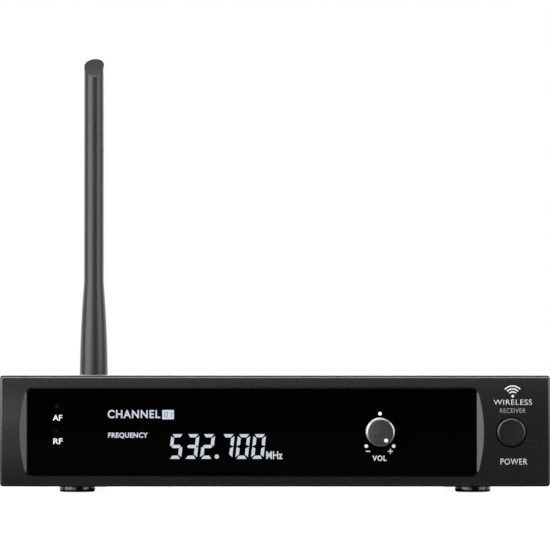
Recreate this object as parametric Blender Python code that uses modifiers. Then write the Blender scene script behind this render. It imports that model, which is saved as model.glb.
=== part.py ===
"""Half-rack wireless receiver unit with a display window, a volume knob and one whip antenna.

Sizes are in metres. +X is right as seen from the front, +Y is back, +Z is up. The origin is on the
table, under the middle of the whole object's box. Every piece hangs on the empty "receiver", whose
own y = 0 is the foremost line of the curved front face: "depth" below means y behind that line.
"""

import math

import bmesh
import bpy

# Case
CASE_WIDTH = 0.212
CASE_HEIGHT = 0.043
CASE_DEPTH = 0.160
FOOT_HEIGHT = 0.0026
CASE_INSET = 0.0005
SHEET = 0.001
COVER_BEND = 0.0015
TRAY_FLANGE = 0.014
SIDE_SCREW_RISE = 0.0085
SIDE_SCREW_FROM_END = 0.022
VENT_SLOTS = 9
VENT_PITCH = 0.007
VENT_WIDTH = 0.0025
VENT_HEIGHT = 0.013

# Clearances
GAP = 0.0003
RUNNING_GAP = 0.0001

# Front panel and window
PANEL_CURVE = 0.085
PANEL_DEPTH = 0.011
PANEL_WALL = 0.0025
PANEL_FLOOR = 0.0015
PANEL_EDGE = 0.0012
AXIS_DROP = 0.0004
WINDOW_LEFT_MARGIN = 0.0104
WINDOW_RIGHT_MARGIN = 0.0283
WINDOW_HEIGHT = 0.0343
WINDOW_THICKNESS = 0.002
WINDOW_CORNER = 0.002
WINDOW_FLARE = 1.49
TAB_FROM_SIDE = 0.046
TAB_WIDTH = 0.010
TAB_THICKNESS = 0.0035
TAB_REACH = 0.013
BOSS_RADIUS = 0.003

# Display
DISPLAY_SPACE = 0.0085
BOARD_THICKNESS = 0.0016
DISPLAY_BOARD_HEIGHT = 0.030
DISPLAY_BOARD_SIDE = 0.009
DISPLAY_SCREW_FROM_WINDOW = (0.0196, 0.0117)
LCD_FROM_WINDOW_LEFT = 0.0266
LCD_WIDTH = 0.078
LCD_HEIGHT = 0.024
LCD_FRAME_WALL = 0.002
LCD_LIP = 0.0012
LCD_GLASS = 0.0022
LED_FROM_WINDOW_LEFT = 0.0116
LED_RISES = {"led_af": 0.0098, "led_rf": 0.0002}
LED_RADIUS = 0.0015

# Volume control
KNOB_FROM_WINDOW_RIGHT = 0.0373
KNOB_RADIUS = 0.00545
KNOB_LENGTH = 0.0084
KNOB_CHAMFER = 0.0007
KNOB_GROOVE = 0.0002
KNOB_CAP = 0.0018
SHAFT_RADIUS = 0.003
SHAFT_FLAT = 0.0015
POT_SIZE = 0.012
POT_THICKNESS = 0.0062
POT_BUSHING = 0.00375

# Power button
BUTTON_FROM_SIDE = 0.01515
BUTTON_RADIUS = 0.0054
BUTTON_CLEARANCE = 0.00055
BUTTON_PROUD = 0.0009
BUTTON_TRAVEL = 0.0025
BUTTON_FLANGE = 0.0014
BUTTON_FLANGE_THICKNESS = 0.001
BUTTON_CAP = 0.002
BUTTON_WALL = 0.0011
BUTTON_STEM_WALL = 0.0009
BUTTON_EDGE = 0.0005
PLUNGER_RADIUS = 0.002
SWITCH_SIZE = 0.010
SWITCH_LENGTH = 0.016
SWITCH_BORE = 0.003
SPRING_WIRE = 0.0003
SPRING_TURNS = 5

# Feet
FOOT_FROM_SIDE = 0.0286
FOOT_FROM_FRONT = 0.028
FOOT_FROM_REAR = 0.022
FOOT_RADIUS = 0.007
FOOT_ROUND = 0.0008

# Screws
SCREW_RADIUS = 0.0015
SCREW_HEAD = 0.0028
SCREW_HEAD_HEIGHT = 0.0011
COVER_SCREW_LENGTH = 0.007
SMALL_SCREW_RADIUS = 0.00125
SMALL_SCREW_HEAD = 0.0023

# Main board
MAIN_BOARD_LEFT = -0.060
MAIN_BOARD_FROM_RIGHT = 0.010
MAIN_BOARD_FRONT = 0.052
MAIN_BOARD_FROM_REAR = 0.004
STANDOFF_HEIGHT = 0.005
STANDOFF_RADIUS = 0.003
STANDOFF_INSET = 0.005

# Parts on the main board: places from its front left or front right corner, and sizes
SHIELD_PLACE = (0.004, 0.040)
SHIELD_SIZE = (0.044, 0.038, 0.008)
SHIELD_WALL = 0.0006
PROCESSOR_PLACE = (0.080, 0.026)
PROCESSOR_SIZE = (0.014, 0.014, 0.0018)
PROCESSOR_EDGE = 0.0003
CAPACITOR_FROM_FRONT = 0.048
CAPACITOR_PITCH = 0.012
CAPACITOR_HEIGHT = 0.0125
CAPACITOR_RADIUS = 0.004
CAPACITOR_LIP = 0.0004
REGULATOR_FROM_RIGHT = 0.046
REGULATOR_BODY = (0.010, 0.0045, 0.009)
REGULATOR_TAB_THICKNESS = 0.0013
REGULATOR_TAB_RISE = 0.006
REGULATOR_TAB_HOLE = 0.0018

# Rear connectors, by their distance from the case's right side
XLR_FROM_RIGHT = 0.092
XLR_FLANGE_WIDTH = 0.026
XLR_FLANGE_HEIGHT = 0.031
XLR_FLANGE = 0.002
XLR_CORNER = 0.003
XLR_OUTER = 0.0113
XLR_INNER = 0.0083
XLR_LENGTH = 0.0165
XLR_SCREWS = (0.0095, 0.012)
XLR_SCREW_LENGTH = 0.006
XLR_PIN = 0.0012
XLR_PIN_CIRCLE = 0.0042
XLR_PIN_LENGTH = 0.0095
XLR_PIN_ANGLES = (30, 150, 270)
XLR_INSERT = 0.004
NUT_RADIUS = 0.0072
PHONE_FROM_RIGHT = 0.058
PHONE_BORE = 0.0033
PHONE_BUSHING = 0.0048
PHONE_BODY = (0.016, 0.024, 0.015)
PHONE_NUT = 0.002
PHONE_PROUD = 0.0006
DC_FROM_RIGHT = 0.026
DC_BODY = (0.009, 0.013, 0.011)
DC_BORE = 0.0031
DC_NOSE = 0.0042
DC_PROUD = 0.0008

# Antenna
ANTENNA_FROM_LEFT = 0.0278
JACK_RADIUS = 0.00475
JACK_BORE = 0.0034
JACK_REACH = 0.012
JACK_FLANGE = 0.007
JACK_FLANGE_THICKNESS = 0.0022
JACK_BODY = 0.003
JACK_TAIL = 0.010
JACK_BORE_DEPTH = 0.008
JACK_POST_RADIUS = 0.0014
JACK_POST_SUNK = 0.002
JACK_NUT = 0.0024
LUG_RADIUS = 0.001
LUG_REACH = 0.0009
LUG_FROM_END = 0.004
SLEEVE_RADIUS = 0.0072
SLEEVE_LENGTH = 0.014
SLEEVE_BEHIND_NUT = 0.00085
SLEEVE_GROOVE = 0.0004
SLEEVE_COLLAR = 0.005
PLUG_NECK_STEP = 0.0004
PLUG_SHOULDER = 0.0015
PLUG_NOSE = 0.006
PLUG_NOSE_WALL = 0.0009
ELBOW_RADIUS = 0.00585
FORK_SPREAD = 1.15
FORK_SLOT = 0.0063
HINGE_PIN_RADIUS = 0.00125
TONGUE_RADIUS = 0.0045
WHIP_LENGTH = 0.1587
WHIP_RADIUS = 0.00425
WHIP_BASE_RADIUS = 0.00602
WHIP_FLARE_START = 0.0213
WHIP_FLARE_END = 0.0618
WHIP_FLARE_POWER = 1.8
# The tip's sloping face, from the back: out from the axis and down from the tip, in whip radii
TIP_SLOPE = ((1, 0), (0.55, 0.32), (0, 0.75), (-0.42, 1.09), (-0.73, 1.4), (-0.87, 1.68), (-0.93, 2))

# Wires
LEAD_RADIUS = 0.0014
PIGTAIL_RADIUS = 0.001
RIBBON_WIDTH = 0.020
RIBBON_THICKNESS = 0.0009

# Facets
FINE_STEPS = 32
ROUND_STEPS = 22
SMALL_STEPS = 10
SHARP_ANGLE = math.radians(35)

# Places worked out from the sizes above
HALF_WIDTH = CASE_WIDTH / 2
CASE_BOTTOM = FOOT_HEIGHT
CASE_TOP = FOOT_HEIGHT + CASE_HEIGHT
AXIS_HEIGHT = FOOT_HEIGHT + CASE_HEIGHT / 2 - AXIS_DROP
TRAY_BOTTOM = CASE_BOTTOM + CASE_INSET
TRAY_TOP = TRAY_BOTTOM + SHEET
COVER_TOP = CASE_TOP - CASE_INSET
COVER_SIDE = HALF_WIDTH - CASE_INSET
TRAY_SIDE = COVER_SIDE - SHEET - GAP
METAL_FRONT = PANEL_DEPTH + GAP
REAR_INSIDE = CASE_DEPTH - SHEET
WINDOW_LEFT = WINDOW_LEFT_MARGIN - HALF_WIDTH
WINDOW_RIGHT = HALF_WIDTH - WINDOW_RIGHT_MARGIN
WINDOW_BOTTOM = AXIS_HEIGHT - WINDOW_HEIGHT / 2
WINDOW_FRONT = PANEL_CURVE - math.sqrt(PANEL_CURVE**2 - (WINDOW_HEIGHT / 2) ** 2)
WINDOW_BACK = WINDOW_FRONT + WINDOW_THICKNESS
FLOOR_FRONT = WINDOW_BACK + GAP
FLOOR_BACK = FLOOR_FRONT + PANEL_FLOOR
DISPLAY_BOARD_FRONT = FLOOR_BACK + DISPLAY_SPACE
DISPLAY_BOARD_BACK = DISPLAY_BOARD_FRONT + BOARD_THICKNESS
KNOB_X = WINDOW_RIGHT - KNOB_FROM_WINDOW_RIGHT
KNOB_BACK = WINDOW_FRONT - GAP
KNOB_FRONT = KNOB_BACK - KNOB_LENGTH
BUTTON_X = HALF_WIDTH - BUTTON_FROM_SIDE
ANTENNA_X = ANTENNA_FROM_LEFT - HALF_WIDTH
XLR_X = HALF_WIDTH - XLR_FROM_RIGHT
PHONE_X = HALF_WIDTH - PHONE_FROM_RIGHT
DC_X = HALF_WIDTH - DC_FROM_RIGHT
SLEEVE_FRONT = CASE_DEPTH + GAP + JACK_NUT + SLEEVE_BEHIND_NUT
SLEEVE_BACK = SLEEVE_FRONT + SLEEVE_LENGTH
PIVOT_DEPTH = SLEEVE_BACK + 2 * GAP + ELBOW_RADIUS
FOOT_X = HALF_WIDTH - FOOT_FROM_SIDE
FOOT_DEPTHS = {"front": FOOT_FROM_FRONT, "rear": CASE_DEPTH - FOOT_FROM_REAR}
SIDE_SCREW_DEPTHS = {
    "front": METAL_FRONT + SIDE_SCREW_FROM_END,
    "rear": CASE_DEPTH - SIDE_SCREW_FROM_END,
}
SIDE_SCREW_HEIGHT = TRAY_BOTTOM + SIDE_SCREW_RISE
TAB_X = HALF_WIDTH - TAB_FROM_SIDE
TAB_BOTTOM = TRAY_TOP + GAP
TAB_SCREW_DEPTH = PANEL_DEPTH + TAB_REACH - TAB_WIDTH / 2
MAIN_BOARD_RIGHT = HALF_WIDTH - MAIN_BOARD_FROM_RIGHT
MAIN_BOARD_REAR = REAR_INSIDE - MAIN_BOARD_FROM_REAR
MAIN_BOARD_BOTTOM = TRAY_TOP + STANDOFF_HEIGHT + GAP
MAIN_BOARD_TOP = MAIN_BOARD_BOTTOM + BOARD_THICKNESS
ON_BOARD = MAIN_BOARD_TOP + GAP
MIDDLE = (KNOB_FRONT + PIVOT_DEPTH + max(ELBOW_RADIUS, WHIP_BASE_RADIUS)) / 2
SIDES = {"left": -1, "right": 1}

# Colour, roughness and metallic value of each finish
BLACK_PLASTIC = ((0.011, 0.011, 0.012), 0.42, 0.0)
SMOKED_ACRYLIC = ((0.003, 0.003, 0.004), 0.05, 0.0)
BLACK_STEEL = ((0.014, 0.014, 0.015), 0.5, 0.3)
BLACK_RUBBER = ((0.01, 0.01, 0.01), 0.3, 0.0)
DARK_METAL = ((0.09, 0.09, 0.095), 0.3, 1.0)
NICKEL = ((0.62, 0.6, 0.56), 0.25, 1.0)
STEEL = ((0.5, 0.5, 0.5), 0.3, 1.0)
BLACK_SCREW = ((0.03, 0.03, 0.03), 0.35, 0.8)
GREEN_BOARD = ((0.01, 0.11, 0.05), 0.4, 0.0)
CHIP = ((0.02, 0.02, 0.02), 0.55, 0.0)
GLASS = ((0.05, 0.07, 0.09), 0.08, 0.0)
DIFFUSER = ((0.75, 0.8, 0.85), 0.4, 0.0)
GREEN_LENS = ((0.02, 0.35, 0.08), 0.2, 0.0)
RED_LENS = ((0.5, 0.02, 0.02), 0.2, 0.0)
CAN = ((0.02, 0.03, 0.06), 0.3, 0.3)
GREY_CABLE = ((0.32, 0.32, 0.34), 0.5, 0.0)
BLACK_CABLE = ((0.015, 0.015, 0.015), 0.5, 0.0)

# Turns a piece whose own Z is its length. A flat outline keeps its u to the right and its v up,
# as seen from the side that it faces.
QUARTER = math.pi / 2
TOWARDS = {
    "up": (0, 0, 0),
    "down": (math.pi, 0, 0),
    "front": (QUARTER, 0, 0),
    "back": (QUARTER, 0, math.pi),
    "right": (QUARTER, 0, QUARTER),
    "left": (QUARTER, 0, -QUARTER),
}


def clear_scene():
    for obj in list(bpy.data.objects):
        bpy.data.objects.remove(obj)


def make_collection(name):
    collection = bpy.data.collections.new(name)
    bpy.context.scene.collection.children.link(collection)
    return collection


clear_scene()
PARTS = make_collection("wireless_receiver")
CUTTERS = make_collection("cutters")
ORIGIN = bpy.data.objects.new("receiver", None)
ORIGIN.location = (0, -MIDDLE, 0)
PARTS.objects.link(ORIGIN)


def make_material(name, colour, roughness, metallic):
    material = bpy.data.materials.new(name)
    material.use_nodes = True
    shader = material.node_tree.nodes["Principled BSDF"]
    shader.inputs["Base Color"].default_value = (*colour, 1)
    shader.inputs["Roughness"].default_value = roughness
    shader.inputs["Metallic"].default_value = metallic
    return material


def add_object(name, data, finish, place=(0, 0, 0), towards="up"):
    """Hangs a new object on the origin empty: a part if it has a finish, and a cutter if not."""
    obj = bpy.data.objects.new(name, data)
    obj.parent = ORIGIN
    obj.location = place
    obj.rotation_euler = TOWARDS[towards]
    if finish is None:
        CUTTERS.objects.link(obj)
        obj.hide_render = True
        obj.display_type = "WIRE"
    else:
        PARTS.objects.link(obj)
        data.materials.append(make_material(name, *finish))
    return obj


def mesh_from(bm, name):
    bmesh.ops.recalc_face_normals(bm, faces=bm.faces)
    mesh = bpy.data.meshes.new(name)
    bm.to_mesh(mesh)
    bm.free()
    mesh.shade_smooth()
    mesh.set_sharp_from_angle(angle=SHARP_ANGLE)
    return mesh


def block(name, low, high, finish=None):
    """A box between two corners."""
    bm = bmesh.new()
    bmesh.ops.create_cube(bm, size=1)
    size = [b - a for a, b in zip(low, high)]
    bmesh.ops.scale(bm, vec=size, verts=bm.verts)
    centre = [(a + b) / 2 for a, b in zip(low, high)]
    return add_object(name, mesh_from(bm, name), finish, centre)


def rod(name, radius, length, place, towards, finish=None, end_radius=None, steps=SMALL_STEPS):
    """A round rod, or a cone, that starts at place."""
    bm = bmesh.new()
    bmesh.ops.create_cone(
        bm,
        cap_ends=True,
        segments=steps,
        radius1=radius,
        radius2=radius if end_radius is None else end_radius,
        depth=length,
    )
    bmesh.ops.translate(bm, vec=(0, 0, length / 2), verts=bm.verts)
    return add_object(name, mesh_from(bm, name), finish, place, towards)


def turned(name, profile, place, towards, finish=None, ring=False, steps=ROUND_STEPS):
    """A turned piece: (radius, height) points from its top down its outer side, as a closed loop
    if it is a ring."""
    mesh = bpy.data.meshes.new(name)
    points = [(radius, 0, height) for radius, height in profile]
    edges = [(i, i + 1) for i in range(len(points) - 1)]
    if ring:
        edges.append((len(points) - 1, 0))
    mesh.from_pydata(points, edges, [])
    obj = add_object(name, mesh, finish, place, towards)
    turn = obj.modifiers.new("Turn", "SCREW")
    turn.steps = turn.render_steps = steps
    turn.use_merge_vertices = True
    turn.merge_threshold = 0.00001
    turn.use_smooth_shade = True
    return obj


def extruded(name, outline, length, place, towards, finish=None):
    """A flat outline of (u, v) points, made length thick from place."""
    curve = bpy.data.curves.new(name, "CURVE")
    curve.dimensions = "2D"
    curve.fill_mode = "BOTH"
    curve.extrude = length / 2
    spline = curve.splines.new("POLY")
    spline.points.add(len(outline) - 1)
    for point, (u, v) in zip(spline.points, outline):
        point.co = (u, v, 0, 1)
    spline.use_cyclic_u = True
    guide = bpy.data.objects.new(name, curve)
    CUTTERS.objects.link(guide)
    graph = bpy.context.evaluated_depsgraph_get()
    mesh = bpy.data.meshes.new_from_object(guide.evaluated_get(graph))
    bpy.data.objects.remove(guide)
    bm = bmesh.new()
    bm.from_mesh(mesh)
    bmesh.ops.remove_doubles(bm, verts=bm.verts, dist=0.000001)
    bmesh.ops.translate(bm, vec=(0, 0, length / 2), verts=bm.verts)
    return add_object(name, mesh_from(bm, name), finish, place, towards)


def sheet(name, line, length, thickness, place, towards, finish):
    """A bent sheet: an open line of (u, v) points swept from place, and thickened to its right."""
    bm = bmesh.new()
    corners = [bm.verts.new((u, v, 0)) for u, v in line]
    edges = [bm.edges.new(pair) for pair in zip(corners, corners[1:])]
    swept = bmesh.ops.extrude_edge_only(bm, edges=edges)["geom"]
    moved = [item for item in swept if isinstance(item, bmesh.types.BMVert)]
    bmesh.ops.translate(bm, vec=(0, 0, length), verts=moved)
    mesh = bpy.data.meshes.new(name)
    bm.to_mesh(mesh)
    bm.free()
    obj = add_object(name, mesh, finish, place, towards)
    thicken = obj.modifiers.new("Sheet", "SOLIDIFY")
    thicken.thickness = thickness
    thicken.offset = -1
    thicken.use_even_offset = True
    return obj


def tube(name, points, radius, finish, fineness=2):
    """A wire along a row of points."""
    curve = bpy.data.curves.new(name, "CURVE")
    curve.dimensions = "3D"
    curve.bevel_depth = radius
    curve.bevel_resolution = fineness
    curve.use_fill_caps = True
    spline = curve.splines.new("POLY")
    spline.points.add(len(points) - 1)
    for point, place in zip(spline.points, points):
        point.co = (*place, 1)
    return add_object(name, curve, finish)


def combine(target, operation, *others):
    for other in others:
        step = target.modifiers.new(other.name, "BOOLEAN")
        step.operation = operation
        step.solver = "EXACT"
        step.object = other
    return target


def cut(target, *cutters):
    return combine(target, "DIFFERENCE", *cutters)


def join(target, *pieces):
    return combine(target, "UNION", *pieces)


def arc(centre_u, centre_v, radius, start, end, steps):
    """Points on an arc, its angles in degrees."""
    angles = [math.radians(start + (end - start) * i / steps) for i in range(steps + 1)]
    return [(centre_u + radius * math.cos(a), centre_v + radius * math.sin(a)) for a in angles]


def rounded_rectangle(width, height, radius, steps=4):
    """An outline about its own centre."""
    u = width / 2 - radius
    v = height / 2 - radius
    corners = ((u, v, 0), (-u, v, 90), (-u, -v, 180), (u, -v, 270))
    return [p for cu, cv, turn in corners for p in arc(cu, cv, radius, turn, turn + 90, steps)]


def smooth_route(points, steps):
    """A smooth curve through a route's points, with this many stretches between each two."""
    padded = [points[0], *points, points[-1]]
    route = []
    for a, b, c, d in zip(padded, padded[1:], padded[2:], padded[3:]):
        for i in range(steps):
            t = i / steps
            weights = (
                -t / 2 + t**2 - t**3 / 2,
                1 - 5 * t**2 / 2 + 3 * t**3 / 2,
                t / 2 + 2 * t**2 - 3 * t**3 / 2,
                -(t**2) / 2 + t**3 / 2,
            )
            corners = zip(a, b, c, d)
            route.append(tuple(sum(w * x for w, x in zip(weights, xs)) for xs in corners))
    return [*route, points[-1]]


def pan_screw(name, place, towards, length, finish, radius=SCREW_RADIUS, head=SCREW_HEAD):
    """A screw whose head stands on place and looks the way of towards."""
    height = SCREW_HEAD_HEIGHT
    profile = [
        (0, height),
        (head * 0.7, height),
        (head, height * 0.45),
        (head, 0),
        (radius, 0),
        (radius, -length),
        (0, -length),
    ]
    return turned(name, profile, place, towards, finish, steps=SMALL_STEPS)


def countersunk_screw(name, place, towards, length, finish):
    """A screw whose flat head's top is at place."""
    profile = [
        (0, 0),
        (SCREW_HEAD, 0),
        (SCREW_RADIUS, -SHEET),
        (SCREW_RADIUS, -length),
        (0, -length),
    ]
    return turned(name, profile, place, towards, finish, steps=SMALL_STEPS)


def face_depth(height):
    """How far the curved face lies behind its foremost line, at this height."""
    return PANEL_CURVE - math.sqrt(PANEL_CURVE**2 - (height - AXIS_HEIGHT) ** 2)


def window_outline(shrink):
    width = WINDOW_RIGHT - WINDOW_LEFT - 2 * shrink
    return rounded_rectangle(width, WINDOW_HEIGHT - 2 * shrink, WINDOW_CORNER - shrink)


def window_centre(depth):
    return ((WINDOW_LEFT + WINDOW_RIGHT) / 2, depth, AXIS_HEIGHT)


def display_screw_places(depth):
    left, right = DISPLAY_SCREW_FROM_WINDOW
    xs = {"left": WINDOW_LEFT + left, "right": WINDOW_RIGHT - right}
    return {side: (x, depth, AXIS_HEIGHT) for side, x in xs.items()}


def panel_block():
    """The curved block that the front panel is cut from."""
    steps = 16
    heights = [CASE_BOTTOM + CASE_HEIGHT * i / steps for i in range(steps + 1)]
    face = [(face_depth(height), height) for height in heights]
    outline = [(PANEL_DEPTH, CASE_BOTTOM), *face, (PANEL_DEPTH, CASE_TOP)]
    place = (-HALF_WIDTH, 0, 0)
    panel = extruded("front_panel", outline, CASE_WIDTH, place, "right", BLACK_PLASTIC)
    round_outer_edges(panel)
    return panel


def round_outer_edges(panel):
    """Rounds the panel's outer edges, apart from those round its back."""
    mesh = panel.data
    weights = mesh.attributes.new("bevel_weight_edge", "FLOAT", "EDGE")
    for edge in mesh.edges:
        a, b = (mesh.vertices[i].co for i in edge.vertices)
        at_back = min(a.x, b.x) > PANEL_DEPTH - GAP
        on_side = abs(a.z - b.z) < GAP
        on_end = a.y < CASE_BOTTOM + GAP or a.y > CASE_TOP - GAP
        if not at_back and (on_side or on_end):
            weights.data[edge.index].value = 1
    edge = panel.modifiers.new("Edge", "BEVEL")
    edge.width = PANEL_EDGE
    edge.segments = 3
    edge.limit_method = "WEIGHT"


def window_flare():
    """The space in front of the window, whose ends slope out to the curved face."""
    reach = 2 * WINDOW_FRONT
    spread = WINDOW_FLARE * reach
    outline = [
        (WINDOW_LEFT, WINDOW_FRONT),
        (WINDOW_RIGHT, WINDOW_FRONT),
        (WINDOW_RIGHT + spread, WINDOW_FRONT - reach),
        (WINDOW_LEFT - spread, WINDOW_FRONT - reach),
    ]
    height = WINDOW_HEIGHT - 2 * GAP
    return extruded("window_flare", outline, height, (0, 0, WINDOW_BOTTOM + GAP), "up")


def panel_hollows():
    inner = HALF_WIDTH - PANEL_WALL
    low = (-inner, FLOOR_BACK, CASE_BOTTOM + PANEL_WALL)
    high = (inner, 2 * PANEL_DEPTH, CASE_TOP - PANEL_WALL)
    pocket_length = FLOOR_FRONT + WINDOW_FRONT
    pocket = extruded(
        "window_pocket", window_outline(0), pocket_length, window_centre(FLOOR_FRONT), "front"
    )
    return block("panel_hollow", low, high), pocket, window_flare()


def floor_hole(name, radius, x, height):
    """A hole through the wall behind the window."""
    place = (x, FLOOR_FRONT - GAP, height)
    return rod(name, radius, PANEL_FLOOR + 2 * GAP, place, "back", steps=ROUND_STEPS)


def panel_holes():
    left = WINDOW_LEFT + LCD_FROM_WINDOW_LEFT
    rise = LCD_HEIGHT / 2
    holes = [
        block(
            "lcd_aperture",
            (left, FLOOR_FRONT - GAP, AXIS_HEIGHT - rise),
            (left + LCD_WIDTH, FLOOR_BACK + GAP, AXIS_HEIGHT + rise),
        ),
        floor_hole("pot_hole", POT_BUSHING + GAP, KNOB_X, AXIS_HEIGHT),
    ]
    for name, rise in LED_RISES.items():
        x = WINDOW_LEFT + LED_FROM_WINDOW_LEFT
        holes.append(floor_hole(name + "_hole", LED_RADIUS + GAP, x, AXIS_HEIGHT + rise))
    bore = BUTTON_RADIUS + BUTTON_CLEARANCE
    place = (BUTTON_X, -PANEL_EDGE, AXIS_HEIGHT)
    holes.append(rod("button_bore", bore, PANEL_DEPTH, place, "back", steps=FINE_STEPS))
    return holes


def make_front_panel():
    panel = panel_block()
    cut(panel, *panel_hollows())
    for side, (x, _, z) in display_screw_places(0).items():
        root = FLOOR_BACK - PANEL_FLOOR / 2
        length = DISPLAY_BOARD_FRONT - GAP - root
        join(panel, rod(f"board_boss_{side}", BOSS_RADIUS, length, (x, root, z), "back"))
    for side, sign in SIDES.items():
        low = (sign * TAB_X - TAB_WIDTH / 2, PANEL_DEPTH - PANEL_WALL, TAB_BOTTOM)
        high = (low[0] + TAB_WIDTH, PANEL_DEPTH + TAB_REACH, TAB_BOTTOM + TAB_THICKNESS)
        join(panel, block(f"panel_tab_{side}", low, high))
    cut(panel, *panel_holes())
    for side, (x, _, z) in display_screw_places(0).items():
        start = (x, FLOOR_BACK + GAP, z)
        hole = rod(f"boss_hole_{side}", SMALL_SCREW_RADIUS + GAP, DISPLAY_SPACE, start, "back")
        cut(panel, hole)
    for side, sign in SIDES.items():
        start = (sign * TAB_X, TAB_SCREW_DEPTH, CASE_BOTTOM)
        length = CASE_HEIGHT / 2
        cut(panel, rod(f"tab_hole_{side}", SCREW_RADIUS + GAP, length, start, "up"))


def make_window():
    window = extruded(
        "display_window",
        window_outline(GAP),
        WINDOW_THICKNESS,
        window_centre(WINDOW_BACK),
        "front",
        SMOKED_ACRYLIC,
    )
    start = (KNOB_X, WINDOW_FRONT - GAP, AXIS_HEIGHT)
    length = WINDOW_THICKNESS + 2 * GAP
    radius = SHAFT_RADIUS + GAP
    cut(window, rod("shaft_hole", radius, length, start, "back", steps=ROUND_STEPS))


def tray_holes():
    through = 4 * SHEET
    below = TRAY_BOTTOM - SHEET
    radius = SCREW_RADIUS + GAP
    holes = []
    for side, sign in SIDES.items():
        for end, depth in FOOT_DEPTHS.items():
            place = (sign * FOOT_X, depth, below)
            holes.append(rod(f"foot_hole_{end}_{side}", radius, through, place, "up"))
        place = (sign * TAB_X, TAB_SCREW_DEPTH, below)
        holes.append(rod(f"panel_screw_hole_{side}", radius, through, place, "up"))
        sink = f"panel_screw_sink_{side}"
        place = (sign * TAB_X, TAB_SCREW_DEPTH, TRAY_TOP)
        holes.append(rod(sink, radius, SHEET, place, "down", end_radius=SCREW_HEAD + GAP))
    for end, depth in SIDE_SCREW_DEPTHS.items():
        place = (-CASE_WIDTH, depth, SIDE_SCREW_HEIGHT)
        holes.append(rod(f"flange_hole_{end}", radius, 2 * CASE_WIDTH, place, "right"))
    return holes


def rear_hole(name, x, radius, rise=0):
    place = (x, REAR_INSIDE - SHEET, AXIS_HEIGHT + rise)
    return rod(name, radius, 3 * SHEET, place, "back", steps=ROUND_STEPS)


def rear_holes():
    holes = [
        rear_hole("antenna_hole", ANTENNA_X, JACK_RADIUS + GAP),
        rear_hole("xlr_hole", XLR_X, XLR_OUTER + GAP),
        rear_hole("phone_hole", PHONE_X, PHONE_BUSHING + GAP),
        rear_hole("dc_hole", DC_X, DC_NOSE + GAP, dc_height() - AXIS_HEIGHT),
    ]
    for place, (x, rise) in xlr_screw_places().items():
        holes.append(rear_hole("xlr_screw_hole_" + place, x, SCREW_RADIUS + GAP, rise))
    return holes


def standoff_places():
    xs = {"left": MAIN_BOARD_LEFT + STANDOFF_INSET, "right": MAIN_BOARD_RIGHT - STANDOFF_INSET}
    depths = {
        "front": MAIN_BOARD_FRONT + STANDOFF_INSET,
        "rear": MAIN_BOARD_REAR - STANDOFF_INSET,
    }
    return {f"{end}_{side}": (x, y) for end, y in depths.items() for side, x in xs.items()}


def make_tray():
    """The floor with its side flanges, the rear panel and the pressed stand-offs."""
    flange_top = TRAY_BOTTOM + TRAY_FLANGE
    line = [
        (TRAY_SIDE, flange_top),
        (TRAY_SIDE, TRAY_BOTTOM),
        (-TRAY_SIDE, TRAY_BOTTOM),
        (-TRAY_SIDE, flange_top),
    ]
    length = CASE_DEPTH - METAL_FRONT
    place = (0, CASE_DEPTH, 0)
    tray = sheet("chassis_tray", line, length, SHEET, place, "front", BLACK_STEEL)
    low = (-TRAY_SIDE, REAR_INSIDE, TRAY_BOTTOM)
    high = (TRAY_SIDE, CASE_DEPTH, COVER_TOP - SHEET - GAP)
    join(tray, block("rear_panel", low, high))
    for name, (x, depth) in standoff_places().items():
        place = (x, depth, TRAY_BOTTOM + SHEET / 2)
        height = STANDOFF_HEIGHT + SHEET / 2
        join(tray, rod("standoff_" + name, STANDOFF_RADIUS, height, place, "up"))
    cut(tray, *tray_holes(), *rear_holes())
    for name, (x, depth) in standoff_places().items():
        place = (x, depth, TRAY_BOTTOM - SHEET)
        radius = SMALL_SCREW_RADIUS + GAP
        cut(tray, rod("board_hole_" + name, radius, 2 * STANDOFF_HEIGHT, place, "up"))


def make_cover():
    """The top and the two sides, bent from one sheet, with vent slots in the sides."""
    bend_x = COVER_SIDE - COVER_BEND
    bend_z = COVER_TOP - COVER_BEND
    line = [
        (-COVER_SIDE, TRAY_BOTTOM),
        *arc(-bend_x, bend_z, COVER_BEND, 180, 90, 4),
        *arc(bend_x, bend_z, COVER_BEND, 90, 0, 4),
        (COVER_SIDE, TRAY_BOTTOM),
    ]
    length = CASE_DEPTH - METAL_FRONT
    place = (0, CASE_DEPTH, 0)
    cover = sheet("top_cover", line, length, SHEET, place, "front", BLACK_STEEL)
    first = METAL_FRONT + (length - (VENT_SLOTS - 1) * VENT_PITCH) / 2
    bottom = AXIS_HEIGHT - VENT_HEIGHT / 4
    for i in range(VENT_SLOTS):
        depth = first + i * VENT_PITCH - VENT_WIDTH / 2
        low = (-CASE_WIDTH, depth, bottom)
        high = (CASE_WIDTH, depth + VENT_WIDTH, bottom + VENT_HEIGHT)
        cut(cover, block(f"vent_slot_{i + 1}", low, high))
    for side, sign in SIDES.items():
        for end, depth in SIDE_SCREW_DEPTHS.items():
            make_side_screw(cover, side, sign, end, depth)


def make_side_screw(cover, side, sign, end, depth):
    inner = sign * (COVER_SIDE - SHEET)
    sink = rod(
        f"countersink_{end}_{side}",
        SCREW_RADIUS + GAP,
        SHEET,
        (inner, depth, SIDE_SCREW_HEIGHT),
        side,
        end_radius=SCREW_HEAD + GAP,
    )
    past = rod(
        f"cover_hole_{end}_{side}",
        SCREW_RADIUS + GAP,
        3 * SHEET,
        (inner - sign * SHEET, depth, SIDE_SCREW_HEIGHT),
        side,
    )
    cut(cover, sink, past)
    place = (sign * COVER_SIDE, depth, SIDE_SCREW_HEIGHT)
    countersunk_screw(f"cover_screw_{end}_{side}", place, side, COVER_SCREW_LENGTH, BLACK_SCREW)


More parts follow.
